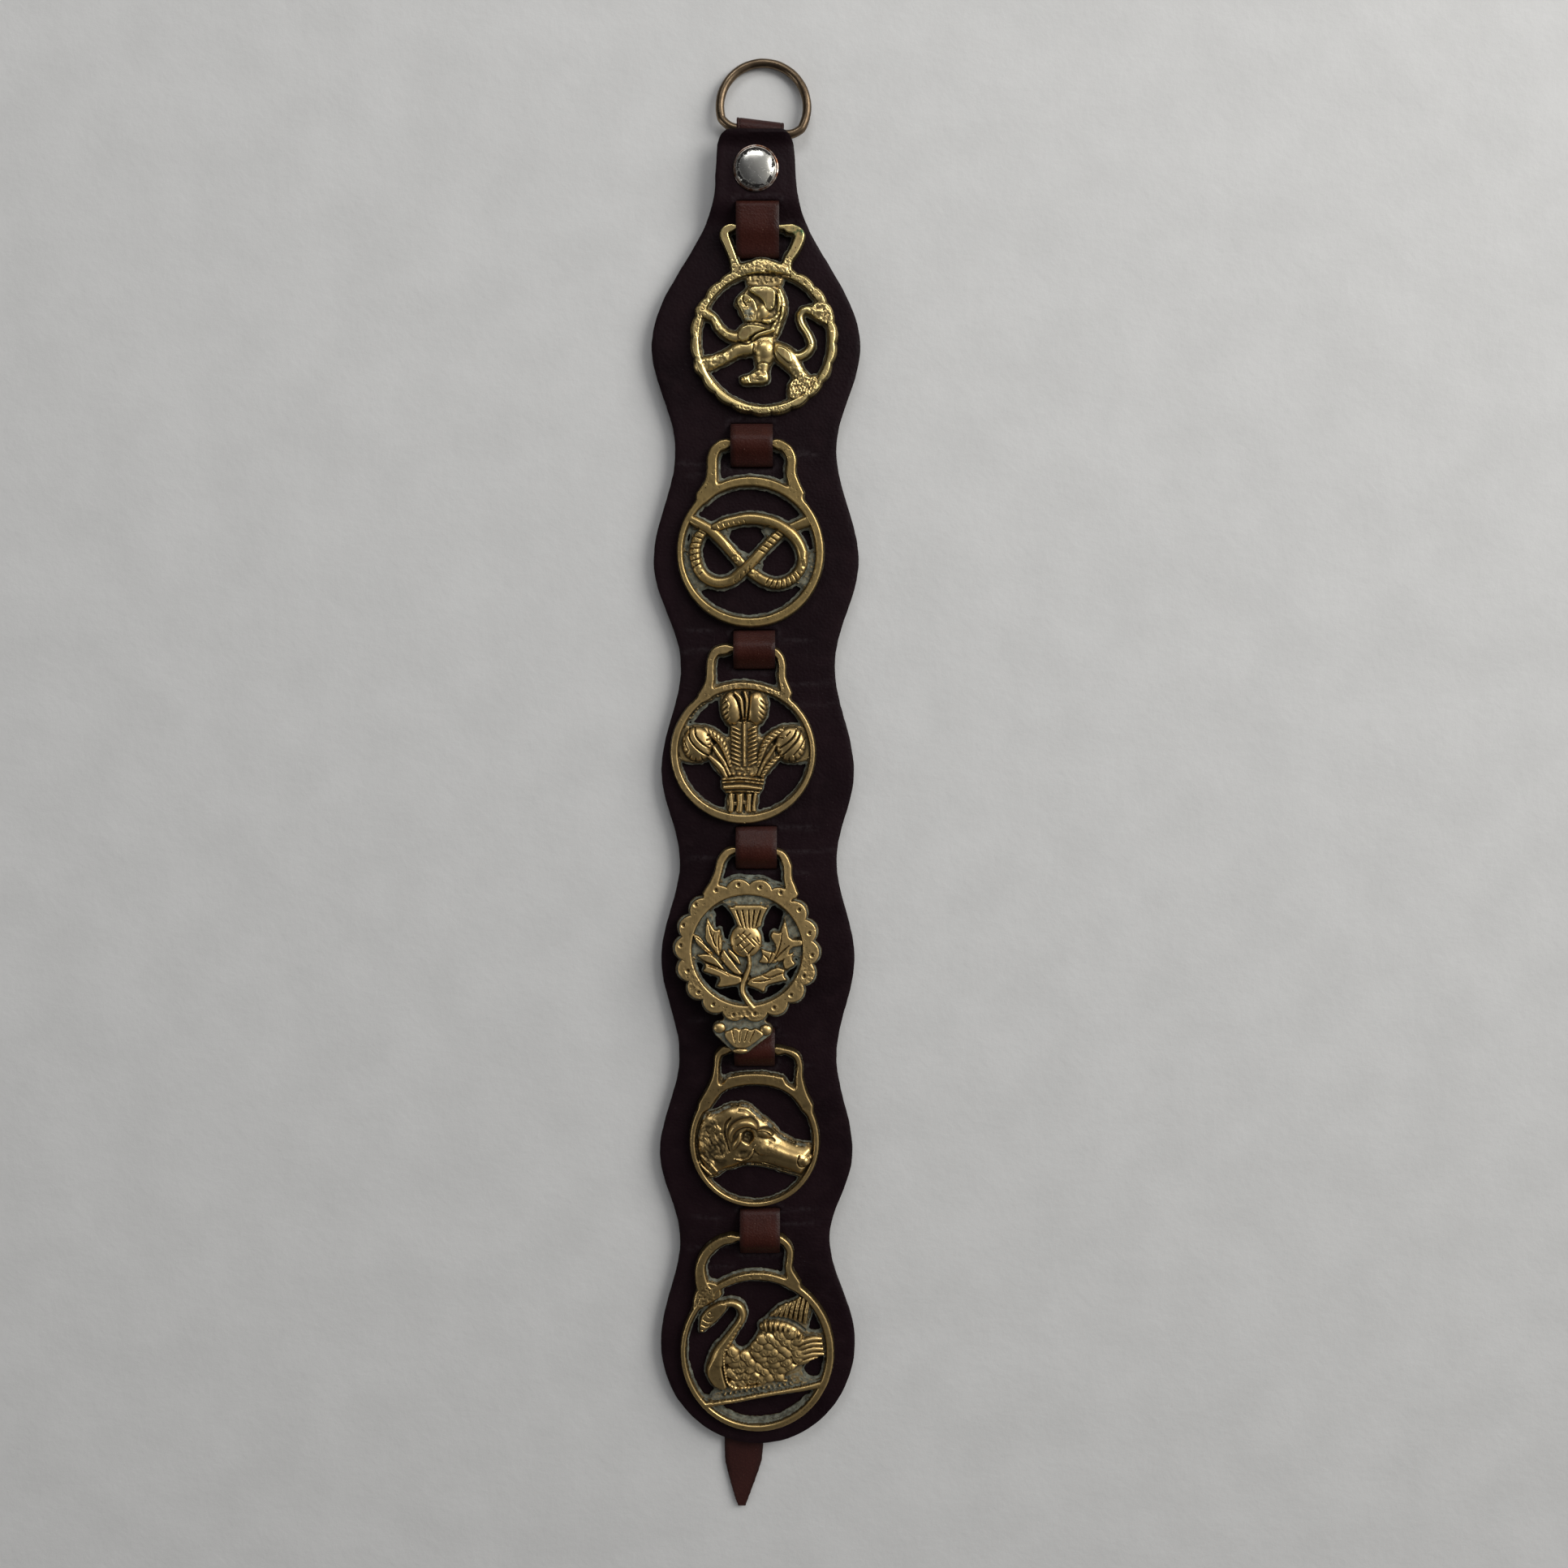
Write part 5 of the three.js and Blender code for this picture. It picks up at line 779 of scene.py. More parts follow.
def hound(mat):
    c = Cast(-27, 27, -28, 38.6, 53)
    th = np.arctan2(c.Y + 0.5, c.X)
    c.frame([c.hoop(-0.3, -0.5, 23.4, 24.5, 1.42, 0.5 * np.exp(-((th - 1.57) / 0.9) ** 2)),
             c.stroke([[-19, 13.6], [-16.2, 19.4], [-14.9, 24.4], [-14.5, 29], [-13.8, 33.2], [-11.2, 35.3]], [2.4, 2.4, 1.7, 1.3, 1.5, 1.4]),
             c.stroke([[-11.6, 35.2], [-8, 35.5], [6, 35.3], [9, 34.8]], 1.25),
             c.stroke([[8.0, 34.9], [12, 34.7], [15.5, 32.8], [16.8, 29], [16.6, 24.4], [17.6, 18.4], [20, 13]], [1.2, 1.35, 1.5, 1.45, 1.7, 2.2, 2.2]),
             c.stroke([[-10, 23.2], [-4, 23.9], [4, 23.9], [10, 23.2]], 1.9)], 3.05, 0.9, k=2.4)
    # low ground that the head stands on, then the head's own volume
    edge = [[-22.4, 10], [-17, 10.9], [-14, 11.9], [-11, 13.7], [-8, 14.3], [-5, 14.7], [-2, 14.0], [0, 11.9], [2, 10.0], [5, 7.8], [7, 5.7], [9, 3.1], [12, 1.1], [16, -0.7], [22.5, -1.2],
            [22.8, -9], [18.4, -15], [14, -13.6], [10, -12.5], [6, -11.2], [2, -10.2], [-2, -9.8], [-5, -9.9], [-8, -11.2], [-12, -12.2], [-14.5, -14.6], [-18.4, -14.6], [-22.6, -7]]
    D = c.outline(edge, 2)
    c.flat(D, 1.55, 0.5)

    def tall(X, Y):
        skull = np.exp(-((X + 5.5) / 6.5) ** 2 - ((Y - 2.2) / 9) ** 2)
        snout = step((X - 1) / 8) * np.exp(-((Y + 6.2 + 0.12 * (X - 10)) / 5.5) ** 2)
        return 3.9 + 1.1 * skull + 1.6 * snout - 0.06 * np.clip(X - 14, 0, 9)
    head = np.minimum(D - 0.8 - 0.2 * step((c.X + 4) / 4), 21.8 - np.hypot(c.X, c.Y + 0.5))
    t = np.clip(blur(np.clip(head, -1, 9), 2) / 4.4, 0, 1)
    z = 1.5 + (tall(c.X, c.Y) - 1.5) * np.clip(1 - (1 - t) ** 2.2, 0, 1) ** 0.62
    c.lay(np.where(head > 0, head, -9.0), blur(z, 1), 0.1, sil=False)
    # brow, cheek and the small hollow of the eye
    c.egg(3.2, 3.6, 3.6, 2.6, 5.1, -20, k=1.0, sil=False)
    c.bar([[0.6, 4.6], [2.8, 5.0], [5.2, 4.2], [6.6, 2.8]], [0.4, 0.7, 0.7, 0.4], 5.35, k=0.5, sil=False)
    c.egg(2.2, -1.4, 4.0, 4.0, 5.5, 0, k=1.2, sil=False)
    # muzzle and nose
    c.bar([[2.4, -2.8], [7, -3.2], [11, -4.8], [15, -6.0], [18, -6.8]], [3.0, 3.2, 3.1, 2.9, 2.2], [5.4, 5.8, 5.8, 5.7, 5.3], k=1.2, sil=False)
    c.egg(18.5, -7.2, 2.6, 2.5, 5.7, 0, k=0.2, p=0.4, sil=False)
    c.egg(20.6, -6.0, 1.1, 1.2, 4.3, 0, k=0.6, sil=False)
    # curled ear: a thick outer roll, its flap and the dark hollow between them
    q = step(np.clip((1 - np.hypot((c.X + 2.7) / 2.9, (c.Y - 2.2) / 3.3)) * 1.6 + 0.18 * lattice(c.X, c.Y, 1.0, 8), 0, 1))
    c.H = c.H - 2.2 * q
    c.bar([[-9.0, 0.4], [-9.1, 3.2], [-7.8, 6.0], [-5.2, 7.7], [-2.6, 8.0], [-0.5, 6.9], [0.4, 5.8]], [1.1, 1.7, 2.1, 2.3, 2.2, 1.7, 1.0], [5.2, 6.2, 6.9, 7.2, 7.1, 6.6, 5.9], k=0.2, sil=False)
    c.bar([[-5.6, 3.4], [-6.2, 1.4], [-7.4, -0.6], [-8.2, -2.6]], [1.0, 1.6, 1.7, 0.9], [5.6, 6.0, 5.8, 5.0], k=0.4, sil=False)
    # hollow behind the cheek, with its lower fold
    q2 = c.zone(-4.6, -3.9, 3.4, 2.0, 0.9)
    c.H = c.H - 0.5 * q2
    c.bar([[-8.2, -6.4], [-5.4, -6.9], [-2.8, -6.0], [-1.2, -4.0], [-0.8, -2.4]], [0.4, 0.8, 0.9, 0.8, 0.4], [4.5, 4.9, 5.1, 5.2, 5.0], k=0.6, sil=False)
    # collar across the neck
    c.bar([[-20.4, -5.2], [-17.0, -8.6], [-14.4, -11.6]], [0.8, 0.95, 0.9], 4.3, k=0.15, sil=False)
    c.bar([[-21.4, -8.4], [-18.6, -11.4], [-16.6, -13.2]], [0.6, 0.8, 0.7], 3.2, k=0.15, sil=False)
    # cut lines: behind the ear, mouth, nose and eye
    c.groove([[-9.0, 9.6], [-10.9, 7.2], [-11.5, 3.6], [-10.6, -0.4], [-9.6, -3.8]], [0.4, 0.75, 0.75, 0.6, 0.3], 0.8)
    c.groove([[2.6, -8.0], [5.6, -8.9], [9.4, -10.3], [13.4, -11.2]], [0.3, 0.7, 0.75, 0.3], 0.9)
    c.groove([[16.6, -4.9], [16.0, -7.4], [16.8, -9.4], [18.6, -10.0]], 0.4, 0.8)
    c.groove([[4.8, 1.4], [6.2, 1.2], [7.4, 0.4]], [0.3, 0.8, 0.4], 0.55)
    c.groove([[-6.4, 12.2], [-3.4, 11.7], [-0.4, 9.4]], 0.7, 0.45)
    # fur on the neck: soft slanting strokes
    rs = np.random.RandomState(15)
    for k in range(20):
        x, y = rs.uniform(-20.0, -12.0), rs.uniform(-6.5, 9.0)
        ln = rs.uniform(2.2, 4.0)
        c.groove([[x, y], [x + ln * 0.4, y - ln * 0.5], [x + ln * 0.5, y - ln]], [0.3, 0.8, 0.3], rs.uniform(0.18, 0.36), n=4)
    neck = c.zone(-16, 0, 6.4, 11)
    c.lumps(neck, 2.4, 0.3, 2)
    c.lumps(neck, 1.0, 0.12, 3)
    c.lumps(c.zone(-3, -5.5, 6, 4), 1.5, 0.16, 5)
    c.lumps(c.zone(4, -1, 7, 6), 2.6, 0.14, 4)
    ground = (c.H < 2.4) & (c.S > 0.3) & (np.hypot(c.X, c.Y) < 21.6)
    c.lumps(ground.astype(float), 0.8, 0.26, 7)
    c.lumps(q, 0.7, 0.3, 9)
    c.pits(neck, 26, 0.36, 0.26, 1)
    c.pits((np.hypot(c.X, c.Y) > 22).astype(float), 50, 0.24, 0.2, 2)
    c.pits(c.zone(2, -3, 9, 6), 24, 0.26, 0.2, 3)
    c.grime = np.maximum(c.grime, ground * np.clip(0.62 + 0.5 * lattice(c.X, c.Y, 1.9, 12), 0.2, 0.95))
    c.grime = np.maximum(c.grime, np.maximum(0.6 * c.zone(-3.0, 2.4, 1.6, 1.6) * (lattice(c.X, c.Y, 0.8, 4) > 0.3), 0.5 * c.zone(6.5, -9.2, 5, 0.9)))
    c.grime = np.maximum(c.grime, 0.7 * np.maximum(c.zone(-11, 25.6, 2.6, 2.6), c.zone(13.4, 25.4, 2.4, 2.2)) * (c.H < 2.8))
    c.dull = np.maximum(c.dull, 0.95 * c.zone(-15, -1, 8.0, 12) * np.clip(0.5 + lattice(c.X, c.Y, 2.6, 6), 0, 1))
    c.dull = np.maximum(c.dull, np.maximum(q, 0.85 * q2))
    c.rough *= 0.6
    return c.finish("hound", mat, reach=0.5, web=1.2, pale_in=0.9)


def swan(mat):
    c = Cast(-31, 31, -31, 50.6, 67, g=0.27)
    th = np.arctan2(c.Y - 2, c.X)
    ring = c.hoop(-0.2, 2.0, 28.2, 30.6, 1.55, 0.25 * np.cos(th + 0.6) + 0.45 * np.exp(-((th - 1.57) / 0.55) ** 2))
    c.frame([ring,
             c.stroke([[-19, 24], [-21.2, 30], [-21.6, 36.4], [-19.2, 41.8], [-14.4, 46.0], [-9.6, 47.4]], [3.2, 2.6, 2.1, 2.0, 2.0, 1.6]),
             c.stroke([[-11, 47.4], [-6, 47.7], [6, 47.6], [8.8, 47.2]], [1.4, 1.3, 1.3, 1.3]),
             c.stroke([[8.0, 47.4], [10.6, 45.9], [12.4, 43.0], [12.5, 39.6], [12.2, 35], [14.6, 29.4]], [1.2, 1.6, 1.6, 1.55, 1.7, 2.4])], 3.1, 0.85, k=2.2)
    c.poly([[-24.2, 26], [-25.2, 18], [-20.6, 19.6], [-16, 22.6], [-13.0, 24.6], [-14.2, 29.6], [-20, 31]], 2.8, 0.8)
    wide = 1.9 - np.abs(np.hypot(c.X, (c.Y - 2) * 0.925) - 27.4)
    c.flat(np.minimum(wide, 1.2 * (-16.4 - c.Y)), 1.25, 0.5)
    # ground of the bird
    c.poly([[-16.6, 4.8], [-18.8, -2.4], [-18.2, -10], [-15.4, -14.2], [0, -14.0], [12, -13], [19.4, -9.6], [16.8, -4.8], [21, 0.0], [26.8, 0.8], [26.8, 9.6], [19.0, 10.0], [19.6, 13.2], [20.8, 17.6], [20.8, 23], [17.6, 25], [13.5, 22.4], [9.5, 21.2], [5, 17.4], [1.4, 11.4], [-1.4, 6.6], [-4.0, 3.4], [-6.6, 2.6], [-8.6, 4.2], [-10.2, 7.0]], 1.7, 0.5)
    # head: a wedge with its beak
    c.poly([[-11.0, 22.3], [-11.2, 19.6], [-15.2, 14.6], [-22.0, 8.9], [-22.4, 13.2], [-21.6, 17.0], [-19.0, 20.2], [-14.2, 22.8]], lambda X, Y: 3.6 + 0.05 * (Y - 16), 0.8, soft=1)
    c.bar([[-12.4, 21.6], [-9.2, 21.8], [-6.6, 20.3], [-5.6, 17.6], [-6.2, 14.9], [-8.6, 11.2], [-11.6, 6.6], [-14.0, 2.4], [-15.4, -2.0]],
          [1.3, 1.5, 1.6, 1.6, 1.6, 1.7, 2.2, 2.9, 3.4], [3.7, 3.9, 4.0, 4.0, 4.0, 4.0, 4.2, 4.4, 4.6], square=3.0,
          mark=lambda u, v, d: -0.7 * step((u - 11) / 1.5) * step((27 - u) / 1.5) * (0.5 + 0.5 * np.cos(2 * np.pi * u / 1.85)) ** 5 * step((v - 0.1) / 0.3))
    c.poly([[-11.6, 5.6], [-14.6, 5.4], [-18.0, 0.6], [-20.0, -3.6], [-19.8, -7.6], [-17.0, -12.0], [-12.4, -13.6], [-10.6, -11.4], [-11.9, -7.0], [-12.8, -2.0], [-12.2, 2.2]], 4.4, 1.6, soft=2)
    # body: overlapping scale feathers over a full rounded back
    body = c.outline([[-13.2, 2.4], [-12.8, -5.4], [-10.6, -11.0], [-4, -11.6], [3, -9.6], [9, -7.4], [14, -4.4], [17, -1], [16.8, 6], [14.6, 10.4], [10.6, 13.2], [3.4, 12.8], [0, 8.6], [-3.0, 4.6], [-6.0, 2.4], [-9.2, 3.6]], 2)
    t = np.clip(body / 2.6, 0, 1)
    c.lay(body, 1.5 + 1.5 * np.clip(1 - (1 - t) ** 2.2, 0, 1) ** 0.7, 0.2, sil=False)
    c1, s1 = math.cos(0.2), math.sin(0.2)
    for j in range(-5, 6):
        for i in range(-5, 7):
            u, v = 3.6 * i + 1.8 * (j % 2) + 0.5 * math.sin(j * 3.1 + i * 1.7), 2.55 * j + 0.35 * math.cos(i * 2.3)
            x, y = 1.6 + u * c1 - v * s1 + 0.35 * math.sin(j * 2.3 + i), -0.2 + u * s1 + v * c1 + 0.3 * math.cos(i * 1.9 + j)
            m, n = int(round((y - c.y[0]) / c.g)), int(round((x - c.x[0]) / c.g))
            if not (0 <= m < len(c.y) and 0 <= n < len(c.x)) or body[m, n] < 0.5 or (x > 3 and y > 10.4):
                continue
            a = 205 + 25 * math.sin(i * 1.3 + j)
            r1, r2 = 2.0 + 0.2 * math.sin(i * 2.1 + j), 2.75 + 0.25 * math.cos(i * 1.7 + j)
            c.egg(x, y, r1, r2, 4.0 + 0.1 * math.sin(i + j * 1.7), a + 50, k=0.04, sil=False, p=0.13, mark=lambda px, py, d: 0.3 * px * (d > -0.2))
            q = math.radians(a + 50)
            if (i + j) % 3:
                c.groove([[x + 0.9 * math.cos(q + t) * 0.9, y + 1.25 * math.sin(q + t)] for t in (-1.3, -0.4, 0.5, 1.3)], 0.24, 0.28, n=4)
    # band of short flutes
    c.bar([[1.8, 12.4], [6.0, 13.0], [10.2, 12.2], [13.8, 10.4], [16.8, 7.6]], [1.7, 2.2, 2.3, 2.3, 1.9], [3.3, 3.6, 3.6, 3.6, 3.3], k=0.12)
    for k in range(8):
        t = k / 7.0
        x, y = 3.2 + 13.2 * t, 12.9 + 0.5 * math.sin(t * 2.6) - 5.3 * t ** 1.7
        s = math.radians(98 - 24 * t)
        dx, dy = 1.9 * math.cos(s), 1.9 * math.sin(s)
        c.bar([[x - dx, y - dy], [x, y], [x + dx, y + dy]], [0.62, 0.85, 0.62], [3.9, 4.35, 3.9], k=0.08, sil=False)
    c.groove([[1.6, 15.2], [5.2, 15.9], [10.2, 15.4], [15.0, 13.3], [18.4, 10.6]], 0.6, 1.1)
    # wing tip: flutes that fan out
    for k in range(8):
        t = k / 7.0
        x0, y0 = 5.2 + 13.0 * t, 17.0 - 0.2 * t - 3.0 * t * t
        x1, y1 = 8.0 + 11.6 * t, 19.4 + 4.8 * math.sin(t * 2.3)
        c.bar([[x0, y0], [(x0 + x1) / 2 - 0.2, (y0 + y1) / 2], [x1, y1]], [0.85, 1.15, 0.95], [3.2, 3.6, 3.0], k=0.2, sil=False)
    # tail feathers
    for k in range(5):
        y = -2.6 + k * 2.05
        c.bar([[13.2 + 0.5 * k, y - 0.7], [17.4, y + 0.9], [21.4, y + 2.0], [25.8 - 0.3 * k, y + 1.9]], [1.0, 1.3, 1.3, 0.95], [3.4, 3.7, 3.4, 2.8], k=0.14, sil=False)
    c.groove([[12.8, 1.0], [14.8, -2.4], [18.0, -3.6]], 0.5, 0.7)
    # beaded line between breast and body
    c.bar([[-12.9, 3.6], [-12.8, -1.6], [-12.3, -6], [-11.2, -9.8], [-8, -11.6], [-3, -11.2], [1.4, -10.6]], [0.45, 0.6, 0.6, 0.6, 0.55, 0.55, 0.4], 4.5, k=0.1, sil=False,
          mark=lambda u, v, d: -0.45 * (0.5 + 0.5 * np.cos(2 * np.pi * u / 1.25)) ** 3)
    # water line
    c.bar([[-20.4, -19.4], [-16, -18.6], [-8, -17.3], [0, -15.7], [8, -14.2], [16, -12.9], [21, -11.8], [25.4, -10.8]], [1.2, 1.05, 1.0, 1.0, 1.0, 1.2, 1.3, 1.7], 3.1, k=0.15, square=3.4)
    c.poly([[-18.4, -18.6], [-17.4, -14.6], [-12.4, -13.4], [6, -11.0], [12.4, -8.8], [17.0, -7.4], [22, -9.4], [26.0, -7.6], [25, -12.6], [12, -13.7], [0, -15.5]], 1.5, 0.4)
    c.bar([[3.6, -8.6], [7.4, -9.0], [11.4, -9.4]], [0.6, 0.9, 0.6], 3.0, k=0.2, sil=False)
    for k in range(13):
        x = -13.5 + k * 2.1
        y = -16.9 + 0.175 * (x + 14)
        c.dots([(x, y + 1.3)], 0.75, 0.6)
        c.egg(x + 1.05, y + 1.5, 0.6, 0.9, 2.3, -12, k=0.1, sil=False)
    # eye spiral and beak cuts
    spiral = [[-18.0 + (0.35 + 0.42 * a) * math.cos(a * 1.9), 18.0 + (0.35 + 0.42 * a) * math.sin(a * 1.9)] for a in (0, 0.6, 1.2, 1.8, 2.4, 3.0)]
    c.groove(spiral, 0.28, 0.5, n=5)
    c.groove([[-20.9, 15.8], [-18.8, 14.6], [-17.2, 14.9]], 0.3, 0.5)
    c.groove([[-21.5, 13.6], [-19.4, 12.8], [-18.0, 13.4]], 0.3, 0.5)
    c.groove([[-21.8, 11.6], [-20.3, 11.0]], 0.3, 0.45)
    c.lumps(c.zone(-20.5, 24.5, 5, 5), 0.9, 0.2, 2)
    c.lumps(np.maximum(c.zone(2, -14.2, 22, 3.2), c.zone(14, -10, 9, 2.6)) * (c.H < 2.6), 0.75, 0.28, 3)
    c.lumps(c.zone(13, 18, 9, 7), 0.9, 0.12, 4)
    c.pits((np.hypot(c.X, c.Y - 2) > 25).astype(float), 110, 0.26, 0.24, 1)
    c.pits(c.zone(-4, 31.5, 13, 3), 26, 0.32, 0.26, 2)
    c.grime = np.maximum(c.grime, 0.8 * np.maximum(c.zone(3, -13.2, 20, 1.9), c.zone(16, -8.2, 6, 2.2)) * (lattice(c.X, c.Y, 1.6, 4) > -0.2) * (c.H < 2.4))
    c.grime = np.maximum(c.grime, 0.6 * (c.H < 2.2) * (c.S > 0.3) * (np.hypot(c.X, c.Y) < 25))
    c.grime = np.maximum(c.grime, 0.8 * ((c.Y < -18) & (c.H < 1.9) & (np.abs(c.X) < 19)))
    c.lumps(c.zone(-5, -7, 8, 4.5), 1.3, 0.2, 9)
    c.dull = np.maximum(c.dull, np.maximum(0.25 * c.zone(-14, -5, 5, 8), 0.5 * c.zone(2, 2, 15, 13) * np.clip(lattice(c.X, c.Y, 2.4, 9) + 0.1, 0, 1)))
    return c.finish("swan", mat, reach=0.65)


# ------------------------------------------------------------------ leather backing
WAVES = [(229, 14.2, 14.5), (171.5, 37.5, 37.5), (135.1, 29.3, 29.1), (95.3, 37.5, 37.3), (57.5, 27.9, 28.8),
         (18.5, 35.4, 36.0), (-14.9, 28.8, 29.7), (-51.9, 36.0, 36.5), (-89.4, 29.5, 30.0), (-127.1, 37.2, 36.2),
         (-161.3, 29.8, 27.6), (-203.0, 37.5, 37.5)]
TAB = [(245.2, 9.8), (243.6, 11.9), (241, 13.5), (236, 13.9), (229, 14.3)]


def hide_half(y, k):
    if y > 229:
        for (y0, a), (y1, b) in zip(TAB, TAB[1:]):
            if y >= y1:
                return a + (b - a) * (y0 - y) / (y0 - y1)
    for p, q in zip(WAVES, WAVES[1:]):
        if y >= q[0]:
            return p[k] + (q[k] - p[k]) * float(cos_step((p[0] - y) / (p[0] - q[0])))
    u = (y + 203.0) / (-244.2 + 203.0)
    return 37.5 * math.sqrt(max(0.0, 1 - u * u))


def hide_z(y):
    return HIDE_Z + 3.3 * cos_step((y - 213) / 10) + 2.9 * cos_step((y - 239.6) / 5.6)


def hide(mat):
    g = 1.15
    x, y = np.arange(-39, 39 + g, g), np.arange(-246, 247 + g, g)
    X, Y = np.meshgrid(x, y)
    ys = np.concatenate([np.arange(245.2, -236, -1.6), -203 - 41.2 * np.sin(np.radians(np.arange(54, 90.1, 3)))])
    ring = [(hide_half(v, 2), v) for v in ys] + [(-hide_half(v, 1), v) for v in ys[::-1]]
    P = np.array(ring)
    best = np.full(X.shape, 1e9)
    inside = np.zeros(X.shape, bool)
    for i in range(len(P)):
        (ax, ay), (bx, by) = P[i], P[(i + 1) % len(P)]
        ex, ey = bx - ax, by - ay
        l2 = ex * ex + ey * ey
        if l2 < 1e-9:
            continue
        j0, j1 = np.searchsorted(y, [min(ay, by) - 8, max(ay, by) + 8])
        XX, YY = X[j0:j1], Y[j0:j1]
        t = np.clip(((XX - ax) * ex + (YY - ay) * ey) / l2, 0, 1)
        best[j0:j1] = np.minimum(best[j0:j1], (XX - ax - t * ex) ** 2 + (YY - ay - t * ey) ** 2)
        if ey:
            inside[j0:j1] ^= ((ay > YY) != (by > YY)) & (XX < (bx - ax) * (YY - ay) / ey + ax)
    S = np.where(inside, 1, -1) * np.sqrt(np.minimum(best, 64))
    S = S - 0.10 + 0.10 * lattice(X, Y, 2.4, 3) + 0.06 * lattice(X, Y, 9, 4)
    outer = S.copy()
    for a, bar, b, cx in PITCH:
        for yy in (a, b):
            q = np.maximum(np.abs(X - cx) - SLOT_HALF, np.abs(Y - yy) - 1.32)
            S = np.minimum(S, q)
    S = np.minimum(S, np.hypot(X - STUD_X, Y - STUD_Y) - 2.4)
    base = hide_z(Y)
    top = base + HIDE_T - 0.04
    top -= 0.4 * np.clip(1 - outer / 1.3, 0, 1) ** 2
    crease = np.zeros_like(X)
    for a, bar, b, cx in PITCH:
        # the lace presses a rounded dent into the leather round each pair of slots
        for yy, s in ((a, 1), (b, -1)):
            q = np.abs(np.hypot(np.maximum(np.abs(X - cx) - 6.4, 0), np.maximum(s * (Y - yy), 0)) - 2.6)
            lip = np.exp(-(q / 0.7) ** 2) * (s * (Y - yy) > -1.5)
            top += 0.10 * lip
            crease = np.maximum(crease, 0.7 * lip)
        top -= 0.12 * step((9.4 - np.abs(X - cx)) / 1.5) * step((a + 1.5 - Y) / 1.5) * step((Y - b + 1.5) / 1.5)
    # faint cross creases at the necks, from bending
    rs = np.random.RandomState(5)
    for y0 in (135, 57.5, -15, -89, -161, 205):
        for k in range(7):
            yc, tilt, xc = y0 + rs.uniform(-14, 14), rs.uniform(-0.09, 0.09), rs.uniform(-22, 22)
            d = np.abs(Y - yc - tilt * (X - xc) - 0.5 * lattice(X, Y, 9, 20 + k))
            w = np.exp(-(d / 0.6) ** 2) * step((rs.uniform(6, 15) - np.abs(X - xc)) / 5)
            top -= 0.09 * w
            crease = np.maximum(crease, 0.8 * w)
    # the doubled lace shows through as a squarish swelling round the stud
    q = np.maximum(np.abs(X - 0.6) - 9.4, np.abs(Y - 230) - 5.6)
    top += 0.34 * step((1.2 - q) / 2.2)
    top += 0.05 * lattice(X, Y, 7, 8) + 0.03 * lattice(X, Y, 2.1, 9)
    edge = base + HIDE_T - 0.5 + 0.06 * lattice(X, Y, 2.0, 10)
    edge = np.where(outer < 1.0, edge, top - 0.15)
    fray = np.clip(1 - outer / 1.6, 0, 1)
    worn = np.clip(0.5 + 0.5 * lattice(X, Y, 26, 12), 0, 1)
    Pt, tri, quad, vals = relief(X, Y, S, top, base, edge, {"crease": crease, "fray": fray, "worn": worn}, g)
    return build("leather_backing_hide", Pt, [tri, quad], vals, mat, "leather_backing", 38)


# ------------------------------------------------------------------ the lace
def lace_points():
    r, w, q, shear = WIRE_R + 0.25 + LACE_T / 2, LACE_W / 2, LOOP_W / 2, -0.12
    P = [(223.6, 4.3, 1.9, q, 0), (229, 4.3, 1.9, q, 0), (239.0, 4.3, 1.8, q, shear * 0.3), (241.6, 4.75, 1.8, q, shear * 0.4)]
    for d in (110, 70, 30, -10, -50, -88):
        a = math.radians(d)
        P.append((LOOP_Y + r * math.cos(a), LOOP_Z + r * math.sin(a), 1.7, q, shear))
    P += [(241, 1.25, 1.5, q, shear * 0.6), (237.5, 2.0, 1.3, q, 0), (227, 2.0, 0.9, w, 0)]
    for i, (a, bar, b, x) in enumerate(PITCH):
        top = float(hide_z(a)) + HIDE_T
        P += [(a + 0.9, 1.0 if i else 1.2, x, w, 0), (a, 1.9, x, w, 0), (a, top + 0.75, x, w, 0), (a - 0.8, top + 1.6, x, w, 0)]
        P += [(bar + 1.6, BAR_TOP + GAP + 1.0, x, w, 0), (bar - 1.6, BAR_TOP + GAP + 1.0, x, w, 0)]
        P += [(b + 0.8, HIDE_Z + HIDE_T + 1.6, x, w, 0), (b, HIDE_Z + HIDE_T + 0.75, x, w, 0), (b, 1.9, x, w, 0), (b - 0.9, 1.0, x, w, 0)]
    P += [(-205, 1.0, -2.5, w, 0), (-240, 1.0, -5.5, w, 0), (-247, 1.0, -5.6, 7.6, 0), (-252.9, 1.0, -5.8, 7.3, 0),
          (-257.1, 1.0, -6.0, 6.2, 0), (-261.2, 1.0, -6.2, 5.0, 0), (-265.4, 1.0, -6.4, 3.7, 0), (-269.4, 1.0, -6.5, 2.4, 0), (TAIL_Y, 1.0, -6.5, 1.6, 0)]
    return np.array(P, float)


